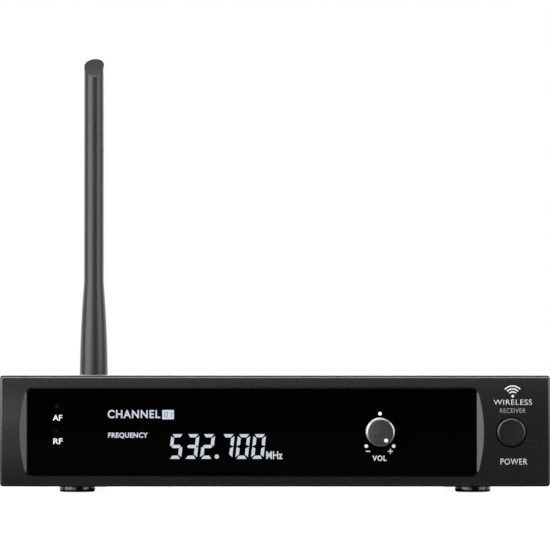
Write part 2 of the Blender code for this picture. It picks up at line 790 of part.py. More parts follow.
def make_feet():
    top = TRAY_BOTTOM - GAP
    recess = SCREW_HEAD + GAP
    hole = SCREW_RADIUS + GAP
    floor = SCREW_HEAD_HEIGHT + 2 * GAP
    corner = arc(FOOT_RADIUS - FOOT_ROUND, FOOT_ROUND, FOOT_ROUND, 0, -90, 2)
    profile = [(hole, top), (FOOT_RADIUS, top), *corner, (recess, 0), (recess, floor), (hole, floor)]
    for side, sign in SIDES.items():
        for end, depth in FOOT_DEPTHS.items():
            place = (sign * FOOT_X, depth, 0)
            turned(f"foot_{end}_{side}", profile, place, "up", BLACK_RUBBER, ring=True)
            seat = (sign * FOOT_X, depth, floor - GAP)
            length = TRAY_TOP + SHEET - floor
            pan_screw(f"foot_screw_{end}_{side}", seat, "down", length, STEEL)


def make_panel_screws():
    length = SHEET + GAP + TAB_THICKNESS
    for side, sign in SIDES.items():
        seat = (sign * TAB_X, TAB_SCREW_DEPTH, TRAY_BOTTOM)
        countersunk_screw(f"panel_screw_{side}", seat, "down", length, BLACK_SCREW)


def make_display_board():
    side = HALF_WIDTH - DISPLAY_BOARD_SIDE
    low = (-side, DISPLAY_BOARD_FRONT, AXIS_HEIGHT - DISPLAY_BOARD_HEIGHT / 2)
    high = (side, DISPLAY_BOARD_BACK, AXIS_HEIGHT + DISPLAY_BOARD_HEIGHT / 2)
    board = block("display_board", low, high, GREEN_BOARD)
    start = DISPLAY_BOARD_FRONT - GAP
    length = BOARD_THICKNESS + 2 * GAP
    for name, place in display_screw_places(start).items():
        radius = SMALL_SCREW_RADIUS + GAP
        cut(board, rod("display_screw_hole_" + name, radius, length, place, "back"))
        seat = (place[0], DISPLAY_BOARD_BACK + GAP, AXIS_HEIGHT)
        pan_screw(
            f"display_screw_{name}",
            seat,
            "back",
            BOARD_THICKNESS + DISPLAY_SPACE / 2,
            STEEL,
            SMALL_SCREW_RADIUS,
            SMALL_SCREW_HEAD,
        )
    place = (BUTTON_X, start, AXIS_HEIGHT)
    cut(board, rod("plunger_hole", PLUNGER_RADIUS + GAP, length, place, "back"))


def make_display():
    """A frame with a front lip, the glass against the lip and the backlight behind the glass."""
    left = WINDOW_LEFT + LCD_FROM_WINDOW_LEFT - LCD_FRAME_WALL
    right = left + LCD_WIDTH + 2 * LCD_FRAME_WALL
    rise = LCD_HEIGHT / 2 + LCD_FRAME_WALL
    front = FLOOR_BACK + GAP
    back = DISPLAY_BOARD_FRONT - GAP
    lip_back = front + LCD_LIP
    glass_back = lip_back + GAP + LCD_GLASS

    def frame_block(name, inset, near, far, finish=None):
        low = (left + inset, near, AXIS_HEIGHT - rise + inset)
        high = (right - inset, far, AXIS_HEIGHT + rise - inset)
        return block(name, low, high, finish)

    frame = frame_block("lcd_frame", 0, front, back, BLACK_PLASTIC)
    pocket = frame_block("lcd_pocket", LCD_FRAME_WALL, lip_back, back + GAP)
    opening = frame_block("lcd_opening", 2 * LCD_FRAME_WALL, front - GAP, back)
    cut(frame, pocket, opening)
    inset = LCD_FRAME_WALL + GAP
    frame_block("lcd_glass", inset, lip_back + GAP, glass_back, GLASS)
    frame_block("backlight_panel", inset, glass_back + GAP, back, DIFFUSER)


def make_leds():
    base = DISPLAY_BOARD_FRONT - GAP
    length = base - FLOOR_FRONT
    holder = length - PANEL_FLOOR - 2 * LED_RADIUS
    colours = {"led_af": GREEN_LENS, "led_rf": RED_LENS}
    dome = arc(0, length - LED_RADIUS, LED_RADIUS, 90, 0, 4)
    profile = [*dome, (LED_RADIUS, holder), (1.5 * LED_RADIUS, holder), (1.5 * LED_RADIUS, 0), (0, 0)]
    for name, rise in LED_RISES.items():
        x = WINDOW_LEFT + LED_FROM_WINDOW_LEFT
        place = (x, base, AXIS_HEIGHT + rise)
        turned(name, profile, place, "front", colours[name], steps=SMALL_STEPS)


def make_volume_control():
    back = DISPLAY_BOARD_FRONT - GAP
    front = back - POT_THICKNESS
    half = POT_SIZE / 2
    low = (KNOB_X - half, front, AXIS_HEIGHT - half)
    high = (KNOB_X + half, back, AXIS_HEIGHT + half)
    pot = block("volume_pot", low, high, DARK_METAL)
    bushing_front = FLOOR_FRONT + GAP
    place = (KNOB_X, front + GAP, AXIS_HEIGHT)
    length = place[1] - bushing_front
    join(pot, rod("pot_bushing", POT_BUSHING, length, place, "front", steps=ROUND_STEPS))
    shaft_end = back - 4 * GAP
    start = (KNOB_X, shaft_end + GAP, AXIS_HEIGHT)
    bore_radius = SHAFT_RADIUS + RUNNING_GAP
    bore_length = start[1] - bushing_front + GAP
    cut(pot, rod("pot_bore", bore_radius, bore_length, start, "front", steps=FINE_STEPS))
    make_shaft_and_knob(shaft_end)


def make_shaft_and_knob(shaft_end):
    shaft_front = KNOB_FRONT + KNOB_CAP + GAP
    place = (KNOB_X, shaft_end, AXIS_HEIGHT)
    length = shaft_end - shaft_front
    shaft = rod("volume_shaft", SHAFT_RADIUS, length, place, "front", STEEL, steps=FINE_STEPS)
    flat_low = (KNOB_X - KNOB_RADIUS, shaft_front - GAP, AXIS_HEIGHT + SHAFT_FLAT)
    flat_high = (KNOB_X + KNOB_RADIUS, KNOB_BACK, AXIS_HEIGHT + KNOB_RADIUS)
    cut(shaft, block("shaft_flat", flat_low, flat_high))
    waist = KNOB_RADIUS - KNOB_GROOVE
    profile = [
        (0, KNOB_LENGTH),
        (KNOB_RADIUS - KNOB_CHAMFER, KNOB_LENGTH),
        (KNOB_RADIUS, KNOB_LENGTH - KNOB_CHAMFER),
        (KNOB_RADIUS, KNOB_LENGTH - 2 * KNOB_CHAMFER),
        (waist, KNOB_LENGTH - 2 * KNOB_CHAMFER),
        (waist, KNOB_CHAMFER),
        (KNOB_RADIUS, KNOB_CHAMFER),
        (KNOB_RADIUS, 0),
        (0, 0),
    ]
    place = (KNOB_X, KNOB_BACK, AXIS_HEIGHT)
    knob = turned("volume_knob", profile, place, "front", DARK_METAL, steps=FINE_STEPS)
    flat = SHAFT_FLAT + GAP
    turn = math.degrees(math.asin(flat / (SHAFT_RADIUS + GAP)))
    outline = arc(0, 0, SHAFT_RADIUS + GAP, 180 - turn, 360 + turn, 2 * SMALL_STEPS)
    length = KNOB_LENGTH - KNOB_CAP + GAP
    start = (KNOB_X, KNOB_BACK + GAP, AXIS_HEIGHT)
    cut(knob, extruded("knob_bore", outline, length, start, "front"))


def make_power_control():
    front = -BUTTON_PROUD
    flange_front = FLOOR_BACK + GAP
    flange_back = flange_front + BUTTON_FLANGE_THICKNESS
    length = flange_back - front
    under = length - BUTTON_CAP
    socket = PLUNGER_RADIUS + GAP
    stem = socket + BUTTON_STEM_WALL
    skirt = BUTTON_RADIUS - BUTTON_WALL
    rim = BUTTON_RADIUS + BUTTON_FLANGE
    profile = [
        (0, length),
        (BUTTON_RADIUS - BUTTON_EDGE, length),
        (BUTTON_RADIUS, length - BUTTON_EDGE),
        (BUTTON_RADIUS, BUTTON_FLANGE_THICKNESS),
        (rim, BUTTON_FLANGE_THICKNESS),
        (rim, 0),
        (skirt, 0),
        (skirt, under),
        (stem, under),
        (stem, 0),
        (socket, 0),
        (socket, under),
        (0, under),
    ]
    place = (BUTTON_X, flange_back, AXIS_HEIGHT)
    turned("power_button", profile, place, "front", BLACK_PLASTIC, steps=FINE_STEPS)
    make_switch(front + BUTTON_CAP + GAP)


def make_switch(plunger_front):
    """The switch stands on the back of the display board and its plunger passes through it."""
    front = DISPLAY_BOARD_BACK + GAP
    back = front + SWITCH_LENGTH
    half = SWITCH_SIZE / 2
    low = (BUTTON_X - half, front, AXIS_HEIGHT - half)
    high = (BUTTON_X + half, back, AXIS_HEIGHT + half)
    body = block("power_switch_body", low, high, CHIP)
    floor = back - 2 * SHEET
    mouth = rod(
        "switch_mouth", PLUNGER_RADIUS + GAP, SHEET + 2 * GAP, (BUTTON_X, front - GAP, AXIS_HEIGHT), "back"
    )
    bore_start = (BUTTON_X, front + SHEET, AXIS_HEIGHT)
    bore = rod("switch_bore", SWITCH_BORE, floor - bore_start[1], bore_start, "back")
    cut(body, mouth, bore)
    collar_front = bore_start[1] + GAP
    collar_back = collar_front + SHEET
    length = collar_back - plunger_front
    profile = [
        (0, length),
        (PLUNGER_RADIUS, length),
        (PLUNGER_RADIUS, SHEET),
        (SWITCH_BORE - GAP, SHEET),
        (SWITCH_BORE - GAP, 0),
        (0, 0),
    ]
    place = (BUTTON_X, collar_back, AXIS_HEIGHT)
    turned("switch_plunger", profile, place, "front", DIFFUSER, steps=SMALL_STEPS)
    make_spring(collar_back + GAP, floor - GAP)


def make_spring(front, back):
    radius = SWITCH_BORE - 2 * GAP - SPRING_WIRE
    steps = 10
    count = SPRING_TURNS * steps
    rise = (back - front - 2 * SPRING_WIRE) / count
    points = []
    for i in range(count + 1):
        angle = 2 * math.pi * i / steps
        x = BUTTON_X + radius * math.cos(angle)
        z = AXIS_HEIGHT + radius * math.sin(angle)
        points.append((x, front + SPRING_WIRE + rise * i, z))
    tube("power_switch_spring", points, SPRING_WIRE, STEEL, fineness=1)


def make_main_board():
    low = (MAIN_BOARD_LEFT, MAIN_BOARD_FRONT, MAIN_BOARD_BOTTOM)
    high = (MAIN_BOARD_RIGHT, MAIN_BOARD_REAR, MAIN_BOARD_TOP)
    board = block("main_board", low, high, GREEN_BOARD)
    for name, (x, depth) in standoff_places().items():
        place = (x, depth, MAIN_BOARD_BOTTOM - GAP)
        length = BOARD_THICKNESS + 2 * GAP
        radius = SMALL_SCREW_RADIUS + GAP
        cut(board, rod("main_screw_hole_" + name, radius, length, place, "up"))
        seat = (x, depth, MAIN_BOARD_TOP + GAP)
        pan_screw(
            "board_screw_" + name,
            seat,
            "up",
            BOARD_THICKNESS + STANDOFF_HEIGHT / 2,
            STEEL,
            SMALL_SCREW_RADIUS,
            SMALL_SCREW_HEAD,
        )


def make_board_parts():
    low = (MAIN_BOARD_LEFT + SHIELD_PLACE[0], MAIN_BOARD_FRONT + SHIELD_PLACE[1], ON_BOARD)
    high = [start + size for start, size in zip(low, SHIELD_SIZE)]
    shield = block("rf_shield_can", low, high, NICKEL)
    hollow_low = (low[0] + SHIELD_WALL, low[1] + SHIELD_WALL, ON_BOARD - GAP)
    hollow_high = [value - SHIELD_WALL for value in high]
    cut(shield, block("shield_hollow", hollow_low, hollow_high))

    low = (MAIN_BOARD_LEFT + PROCESSOR_PLACE[0], MAIN_BOARD_FRONT + PROCESSOR_PLACE[1], ON_BOARD)
    high = [start + size for start, size in zip(low, PROCESSOR_SIZE)]
    processor = block("audio_processor", low, high, CHIP)
    bevel = processor.modifiers.new("Edge", "BEVEL")
    bevel.width = PROCESSOR_EDGE
    bevel.segments = 1

    crimped = CAPACITOR_RADIUS - CAPACITOR_LIP
    profile = [
        (0, CAPACITOR_HEIGHT),
        (crimped, CAPACITOR_HEIGHT),
        (CAPACITOR_RADIUS, CAPACITOR_HEIGHT - CAPACITOR_LIP),
        (CAPACITOR_RADIUS, 3 * CAPACITOR_LIP),
        (crimped, 2 * CAPACITOR_LIP),
        (CAPACITOR_RADIUS, CAPACITOR_LIP),
        (CAPACITOR_RADIUS, 0),
        (0, 0),
    ]
    depth = MAIN_BOARD_FRONT + CAPACITOR_FROM_FRONT
    for number in (1, 2):
        place = (MAIN_BOARD_RIGHT - CAPACITOR_PITCH * number, depth, ON_BOARD)
        turned(f"filter_capacitor_{number}", profile, place, "up", CAN, steps=SMALL_STEPS + 6)
    make_regulator(MAIN_BOARD_RIGHT - REGULATOR_FROM_RIGHT, depth)


def make_regulator(x, depth):
    """A power package that stands on the board, its metal tab above the body."""
    width, thickness, height = REGULATOR_BODY
    top = ON_BOARD + height
    low = (x - width / 2, depth, ON_BOARD)
    high = (x + width / 2, depth + thickness, top)
    regulator = block("voltage_regulator", low, high, CHIP)
    tab_low = (low[0], high[1] - REGULATOR_TAB_THICKNESS, top - SHEET)
    tab_high = (high[0], high[1], top + REGULATOR_TAB_RISE)
    join(regulator, block("regulator_tab", tab_low, tab_high))
    hole_place = (x, depth, top + REGULATOR_TAB_RISE / 2)
    cut(regulator, rod("tab_hole", REGULATOR_TAB_HOLE, 2 * thickness, hole_place, "back"))


def dc_height():
    return ON_BOARD + DC_BODY[2] / 2


def xlr_screw_places():
    across, up = XLR_SCREWS
    return {"upper": (XLR_X - across, up), "lower": (XLR_X + across, -up)}


def make_output_socket():
    """The flange is outside the rear panel, and its shell passes in through it."""
    front = CASE_DEPTH + GAP + XLR_FLANGE - XLR_LENGTH
    outline = rounded_rectangle(XLR_FLANGE_WIDTH, XLR_FLANGE_HEIGHT, XLR_CORNER)
    place = (XLR_X, CASE_DEPTH + GAP, AXIS_HEIGHT)
    socket = extruded("xlr_socket", outline, XLR_FLANGE, place, "back", DARK_METAL)
    start = (XLR_X, front, AXIS_HEIGHT)
    shell_length = XLR_LENGTH - XLR_FLANGE / 2
    shell = rod("xlr_shell", XLR_OUTER, shell_length, start, "back", steps=ROUND_STEPS)
    join(socket, shell)
    before = (XLR_X, front - GAP, AXIS_HEIGHT)
    bore_length = XLR_LENGTH + 2 * GAP
    cut(socket, rod("xlr_bore", XLR_INNER, bore_length, before, "back", steps=ROUND_STEPS))
    for name, (x, rise) in xlr_screw_places().items():
        hole = (x, CASE_DEPTH, AXIS_HEIGHT + rise)
        radius = SCREW_RADIUS + GAP
        cut(socket, rod("flange_hole_" + name, radius, 2 * XLR_FLANGE, hole, "back"))
        seat = (x, CASE_DEPTH + XLR_FLANGE + 2 * GAP, AXIS_HEIGHT + rise)
        pan_screw("xlr_screw_" + name, seat, "back", XLR_SCREW_LENGTH, BLACK_SCREW)
    make_output_insert(front)


def make_output_insert(front):
    radius = XLR_INNER - GAP
    place = (XLR_X, front, AXIS_HEIGHT)
    insert = rod(
        "xlr_insert", radius, XLR_INSERT, place, "back", BLACK_PLASTIC, steps=ROUND_STEPS
    )
    for number, angle in enumerate(XLR_PIN_ANGLES, start=1):
        x = XLR_X + XLR_PIN_CIRCLE * math.cos(math.radians(angle))
        z = AXIS_HEIGHT + XLR_PIN_CIRCLE * math.sin(math.radians(angle))
        start = (x, front + XLR_INSERT / 2, z)
        length = XLR_INSERT / 2 + XLR_PIN_LENGTH
        join(insert, rod(f"xlr_pin_{number}", XLR_PIN, length, start, "back"))


def make_phone_jack():
    width, length, height = PHONE_BODY
    back = REAR_INSIDE - GAP
    low = (PHONE_X - width / 2, back - length, AXIS_HEIGHT - height / 2)
    high = (PHONE_X + width / 2, back, AXIS_HEIGHT + height / 2)
    jack = block("phone_jack", low, high, CHIP)
    start = (PHONE_X, back - SHEET, AXIS_HEIGHT)
    bushing = CASE_DEPTH + GAP + PHONE_NUT + PHONE_PROUD - start[1]
    join(jack, rod("phone_bushing", PHONE_BUSHING, bushing, start, "back", steps=ROUND_STEPS))
    bore_start = (PHONE_X, low[1] + SHEET, AXIS_HEIGHT)
    bore_length = length + bushing
    cut(jack, rod("phone_bore", PHONE_BORE, bore_length, bore_start, "back", steps=ROUND_STEPS))
    hex_nut("phone_jack_nut", PHONE_X, PHONE_BUSHING, PHONE_NUT)


def hex_nut(name, x, bolt, thickness):
    """A six-sided nut on the outside of the rear panel."""
    place = (x, CASE_DEPTH + GAP, AXIS_HEIGHT)
    nut = rod(name, NUT_RADIUS, thickness, place, "back", NICKEL, steps=6)
    before = (x, CASE_DEPTH, AXIS_HEIGHT)
    length = thickness + 2 * GAP
    cut(nut, rod(name + "_bore", bolt + GAP, length, before, "back", steps=ROUND_STEPS))


def make_dc_inlet():
    width, length, height = DC_BODY
    back = REAR_INSIDE - GAP
    low = (DC_X - width / 2, back - length, ON_BOARD)
    high = (DC_X + width / 2, back, ON_BOARD + height)
    inlet = block("dc_inlet", low, high, CHIP)
    start = (DC_X, back - SHEET, dc_height())
    nose = CASE_DEPTH + DC_PROUD - start[1]
    join(inlet, rod("dc_nose", DC_NOSE, nose, start, "back", steps=ROUND_STEPS))
    bore_start = (DC_X, low[1] + 2 * SHEET, dc_height())
    bore_length = length + 4 * SHEET
    cut(inlet, rod("dc_bore", DC_BORE, bore_length, bore_start, "back", steps=ROUND_STEPS))
    pin_start = (DC_X, low[1] + SHEET, dc_height())
    join(inlet, rod("dc_pin", SHEET, length - SHEET, pin_start, "back"))


def make_antenna_jack():
    """A bulkhead jack: the flange is inside the rear panel, the nut and the two lugs outside."""
    reach = CASE_DEPTH + JACK_REACH
    flange_back = REAR_INSIDE - GAP
    flange_front = flange_back - JACK_FLANGE_THICKNESS
    body_front = flange_front - JACK_BODY
    bore_floor = reach - JACK_BORE_DEPTH
    post_end = reach - JACK_POST_SUNK

    def at(radius, depth):
        return (radius, depth - CASE_DEPTH)

    profile = [
        at(0, post_end),
        at(JACK_POST_RADIUS, post_end),
        at(JACK_POST_RADIUS, bore_floor),
        at(JACK_BORE, bore_floor),
        at(JACK_BORE, reach),
        at(JACK_RADIUS, reach),
        at(JACK_RADIUS, flange_back),
        at(JACK_FLANGE, flange_back),
        at(JACK_FLANGE, flange_front),
        at(JACK_RADIUS, flange_front),
        at(JACK_RADIUS, body_front),
        at(LEAD_RADIUS, body_front),
        at(LEAD_RADIUS, CASE_DEPTH - JACK_TAIL),
        at(0, CASE_DEPTH - JACK_TAIL),
    ]
    place = (ANTENNA_X, CASE_DEPTH, AXIS_HEIGHT)
    jack = turned("antenna_jack", profile, place, "back", NICKEL)
    wall = (JACK_BORE + JACK_RADIUS) / 2
    length = JACK_RADIUS + LUG_REACH - wall
    for side, sign in SIDES.items():
        start = (ANTENNA_X + sign * wall, reach - LUG_FROM_END, AXIS_HEIGHT)
        join(jack, rod(f"jack_lug_{side}", LUG_RADIUS, length, start, side, steps=8))
    hex_nut("antenna_jack_nut", ANTENNA_X, JACK_RADIUS, JACK_NUT)


def make_antenna_plug():
    reach = CASE_DEPTH + JACK_REACH
    inner = JACK_RADIUS + LUG_REACH + GAP
    neck = JACK_RADIUS - PLUG_NECK_STEP
    shoulder_front = reach + GAP
    shoulder_back = shoulder_front + PLUG_SHOULDER
    lip_front = shoulder_back + GAP
    waist = SLEEVE_RADIUS - SLEEVE_GROOVE
    collar = SLEEVE_FRONT + SLEEVE_COLLAR

    def at(radius, depth):
        return (radius, depth - SLEEVE_FRONT)

    profile = [
        at(neck + GAP, SLEEVE_BACK),
        at(waist, SLEEVE_BACK),
        at(SLEEVE_RADIUS, SLEEVE_BACK - SLEEVE_GROOVE),
        at(SLEEVE_RADIUS, collar),
        at(waist, collar),
        at(waist, SLEEVE_FRONT),
        at(inner, SLEEVE_FRONT),
        at(inner, lip_front),
        at(neck + GAP, lip_front),
    ]
    place = (ANTENNA_X, SLEEVE_FRONT, AXIS_HEIGHT)
    turned("coupling_sleeve", profile, place, "back", NICKEL, ring=True)
    make_elbow(shoulder_front, shoulder_back, SLEEVE_BACK + GAP, neck, inner - GAP)


def make_elbow(shoulder_front, shoulder_back, body_front, neck, shoulder):
    """The plug's nose and neck, and the fork that holds the whip's tongue."""
    nose_front = shoulder_front - PLUG_NOSE
    slot_front = PIVOT_DEPTH - TONGUE_RADIUS - GAP

    def at(radius, depth):
        return (radius, depth - nose_front)

    nose = JACK_BORE - GAP
    profile = [
        at(0, slot_front),
        at(ELBOW_RADIUS, slot_front),
        at(ELBOW_RADIUS, body_front),
        at(neck, body_front),
        at(neck, shoulder_back),
        at(shoulder, shoulder_back),
        at(shoulder, shoulder_front),
        at(nose, shoulder_front),
        at(nose, nose_front),
        at(nose - PLUG_NOSE_WALL, nose_front),
        at(nose - PLUG_NOSE_WALL, shoulder_front),
        at(0, shoulder_front),
    ]
    place = (ANTENNA_X, nose_front, AXIS_HEIGHT)
    elbow = turned("antenna_base", profile, place, "back", BLACK_PLASTIC)
    start = (ANTENNA_X - ELBOW_RADIUS, PIVOT_DEPTH, AXIS_HEIGHT)
    root = body_front + GAP - PIVOT_DEPTH
    outline = [(root, -ELBOW_RADIUS), *arc(0, 0, ELBOW_RADIUS, -90, 90, 12), (root, ELBOW_RADIUS)]
    fork = extruded("fork", outline, 2 * ELBOW_RADIUS, start, "right")
    barrel_start = (ANTENNA_X, body_front, AXIS_HEIGHT)
    barrel_length = 3 * ELBOW_RADIUS
    barrel_radius = ELBOW_RADIUS * FORK_SPREAD
    barrel = rod(
        "fork_barrel", barrel_radius, barrel_length, barrel_start, "back", steps=FINE_STEPS
    )
    combine(fork, "INTERSECT", barrel)
    join(elbow, fork)
    low = (ANTENNA_X - FORK_SLOT / 2, slot_front, AXIS_HEIGHT - 2 * ELBOW_RADIUS)
    high = (ANTENNA_X + FORK_SLOT / 2, CASE_DEPTH * 2, AXIS_HEIGHT + 2 * ELBOW_RADIUS)
    pin_place = (ANTENNA_X - 2 * ELBOW_RADIUS, PIVOT_DEPTH, AXIS_HEIGHT)
    bore = rod(
        "fork_pin_hole", HINGE_PIN_RADIUS + RUNNING_GAP, 4 * ELBOW_RADIUS, pin_place, "right"
    )
    cut(elbow, block("fork_slot", low, high), bore)
    pin_length = 2 * ELBOW_RADIUS
    rod("hinge_pin", HINGE_PIN_RADIUS, pin_length, start, "right", STEEL)


def whip_radius(rise):
    """The whip's radius at a height above its pivot: a flared base that narrows to a rod."""
    share = (rise - WHIP_FLARE_START) / (WHIP_FLARE_END - WHIP_FLARE_START)
    share = min(max(share, 0), 1)
    return WHIP_RADIUS + (WHIP_BASE_RADIUS - WHIP_RADIUS) * (1 - share**WHIP_FLARE_POWER)


def make_whip():
    steps = 10
    base = ELBOW_RADIUS + 2 * GAP
    flare = WHIP_FLARE_END - WHIP_FLARE_START
    rises = [WHIP_FLARE_START + flare * i / steps for i in range(steps + 1)]
    sides = [(whip_radius(rise), rise) for rise in reversed(rises)]
    profile = [(0, WHIP_LENGTH), (WHIP_RADIUS, WHIP_LENGTH), *sides, (WHIP_BASE_RADIUS, base), (0, base)]
    pivot = (ANTENNA_X, PIVOT_DEPTH, AXIS_HEIGHT)
    whip = turned("antenna_whip", profile, pivot, "up", BLACK_PLASTIC, steps=28)
    half = FORK_SLOT / 2 - GAP
    top = base + GAP
    outline = [(TONGUE_RADIUS, top), (-TONGUE_RADIUS, top)]
    outline += arc(0, 0, TONGUE_RADIUS, 180, 360, 12)
    start = (ANTENNA_X - half, PIVOT_DEPTH, AXIS_HEIGHT)
    join(whip, extruded("whip_tongue", outline, 2 * half, start, "right"))
    bore = HINGE_PIN_RADIUS + RUNNING_GAP
    before = (ANTENNA_X - 2 * half, PIVOT_DEPTH, AXIS_HEIGHT)
    cut(whip, rod("tongue_hole", bore, 4 * half, before, "right", steps=SMALL_STEPS))
    tip = AXIS_HEIGHT + WHIP_LENGTH
    back = PIVOT_DEPTH + WHIP_RADIUS
    before_front = PIVOT_DEPTH - 2 * WHIP_RADIUS
    above = tip + WHIP_RADIUS
    slope = [(PIVOT_DEPTH + WHIP_RADIUS * out, tip - WHIP_RADIUS * down) for out, down in TIP_SLOPE]
    lowest = slope[-1][1]
    slope += [(before_front, lowest), (before_front, above), (back, above)]
    side = ANTENNA_X - 2 * WHIP_RADIUS
    cut(whip, extruded("tip_slope", slope, 4 * WHIP_RADIUS, (side, 0, 0), "right"))


def make_wires():
    jack_tail = CASE_DEPTH - JACK_TAIL
    can_right = MAIN_BOARD_LEFT + 0.004
    can_height = ON_BOARD + 0.004
    pigtail = [
        (ANTENNA_X, jack_tail - GAP, AXIS_HEIGHT),
        (ANTENNA_X, jack_tail - 0.008, AXIS_HEIGHT),
        (ANTENNA_X + 0.001, jack_tail - 0.024, AXIS_HEIGHT - 0.003),
        (ANTENNA_X + 0.008, jack_tail - 0.034, can_height + 0.001),
        (can_right - 0.006, jack_tail - 0.037, can_height),
        (can_right - GAP, jack_tail - 0.037, can_height),
    ]
    tube("antenna_pigtail", smooth_route(pigtail, 4), PIGTAIL_RADIUS, BLACK_CABLE)
    socket_front = CASE_DEPTH + GAP + XLR_FLANGE - XLR_LENGTH - GAP
    rest = ON_BOARD + LEAD_RADIUS
    lead = [
        (XLR_X, socket_front, AXIS_HEIGHT),
        (XLR_X, socket_front - 0.006, AXIS_HEIGHT),
        (XLR_X, socket_front - 0.018, AXIS_HEIGHT - 0.005),
        (XLR_X + 0.002, socket_front - 0.028, rest + 0.001),
        (XLR_X + 0.004, socket_front - 0.036, rest),
        (XLR_X + 0.005, socket_front - 0.044, rest),
    ]
    tube("audio_lead", smooth_route(lead, 4), LEAD_RADIUS, GREY_CABLE)
    start = DISPLAY_BOARD_BACK + GAP
    ribbon = [
        (start, AXIS_HEIGHT - 0.003),
        (start + 0.005, AXIS_HEIGHT - 0.003),
        (start + 0.016, AXIS_HEIGHT - 0.006),
        (MAIN_BOARD_FRONT - 0.009, MAIN_BOARD_TOP + 0.003),
        (MAIN_BOARD_FRONT + 0.001, ON_BOARD + RIBBON_THICKNESS),
        (MAIN_BOARD_FRONT + 0.008, ON_BOARD + RIBBON_THICKNESS),
    ]
    sheet(
        "ribbon_cable",
        smooth_route(ribbon, 3),
        RIBBON_WIDTH,
        RIBBON_THICKNESS,
        (-RIBBON_WIDTH / 2, 0, 0),
        "right",
        GREY_CABLE,
    )


def main():
    make_front_panel()
    make_window()
    make_tray()
    make_cover()
    make_feet()
    make_panel_screws()
    make_display_board()
    make_display()
    make_leds()
    make_volume_control()
    make_power_control()
    make_main_board()
    make_board_parts()
    make_output_socket()
    make_phone_jack()
    make_dc_inlet()
    make_antenna_jack()
    make_antenna_plug()
    make_whip()
    make_wires()


main()
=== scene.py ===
"""The looks of the wireless receiver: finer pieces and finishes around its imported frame."""

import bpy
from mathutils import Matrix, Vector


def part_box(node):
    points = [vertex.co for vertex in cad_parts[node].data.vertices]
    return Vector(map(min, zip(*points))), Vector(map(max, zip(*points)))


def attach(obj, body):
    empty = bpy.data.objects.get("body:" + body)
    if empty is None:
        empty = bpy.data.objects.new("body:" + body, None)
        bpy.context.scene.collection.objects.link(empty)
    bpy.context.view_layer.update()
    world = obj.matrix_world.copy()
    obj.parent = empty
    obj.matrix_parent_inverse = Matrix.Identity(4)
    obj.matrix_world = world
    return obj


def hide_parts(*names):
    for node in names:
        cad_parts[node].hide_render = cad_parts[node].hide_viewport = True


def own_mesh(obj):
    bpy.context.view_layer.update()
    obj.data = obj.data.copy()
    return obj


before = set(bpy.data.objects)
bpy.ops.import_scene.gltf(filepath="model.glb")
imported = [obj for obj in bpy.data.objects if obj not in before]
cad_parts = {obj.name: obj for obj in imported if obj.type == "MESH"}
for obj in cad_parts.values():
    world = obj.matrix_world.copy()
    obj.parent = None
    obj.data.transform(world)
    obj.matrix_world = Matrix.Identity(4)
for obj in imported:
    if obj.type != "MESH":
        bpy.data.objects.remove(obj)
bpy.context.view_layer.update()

import math

import bmesh
import bpy
from mathutils import Matrix, Vector

# Sizes that the frame's boxes don't give, in metres
GAP = 0.0003
FACE_CURVE = 0.085
FACE_EDGE = 0.0012
FACE_DEPTH = 0.011
FACE_WALL = 0.0025
FACE_FLOOR = 0.0015
FACE_STEPS = 24
WINDOW_CORNER = 0.002
FLARE = 1.49
PRINT = 0.00003

# Places
FACE_LOW, FACE_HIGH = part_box("front_panel")
WINDOW_LOW, WINDOW_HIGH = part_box("display_window")
KNOB_LOW, KNOB_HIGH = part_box("volume_knob")
BUTTON_LOW, BUTTON_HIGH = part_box("power_button")
WHIP_LOW, WHIP_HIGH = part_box("antenna_whip")
ELBOW_LOW, ELBOW_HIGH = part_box("antenna_base")
SLEEVE_LOW, SLEEVE_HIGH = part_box("coupling_sleeve")
JACK_LOW, JACK_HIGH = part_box("antenna_jack")
AXIS_Z = (KNOB_LOW.z + KNOB_HIGH.z) / 2
KNOB_X = (KNOB_LOW.x + KNOB_HIGH.x) / 2
BUTTON_X = (BUTTON_LOW.x + BUTTON_HIGH.x) / 2
FACE_Y = FACE_LOW.y
BOTTOM = FACE_LOW.z
TOP = FACE_HIGH.z
HALF = FACE_HIGH.x
WINDOW_Y = WINDOW_LOW.y
FLOOR_Y = WINDOW_HIGH.y + GAP
FLOOR_BACK_Y = FLOOR_Y + FACE_FLOOR
BACK_Y = FACE_Y + FACE_DEPTH
REAR_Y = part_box("chassis_tray")[1].y
ANTENNA_X = (ELBOW_LOW.x + ELBOW_HIGH.x) / 2
PIVOT_Y = (WHIP_LOW.y + WHIP_HIGH.y) / 2

AXES = {
    "up": Vector((0, 0, 1)),
    "down": Vector((0, 0, -1)),
    "front": Vector((0, -1, 0)),
    "back": Vector((0, 1, 0)),
    "left": Vector((-1, 0, 0)),
    "right": Vector((1, 0, 0)),
}


# ---------------------------------------------------------------- finishes


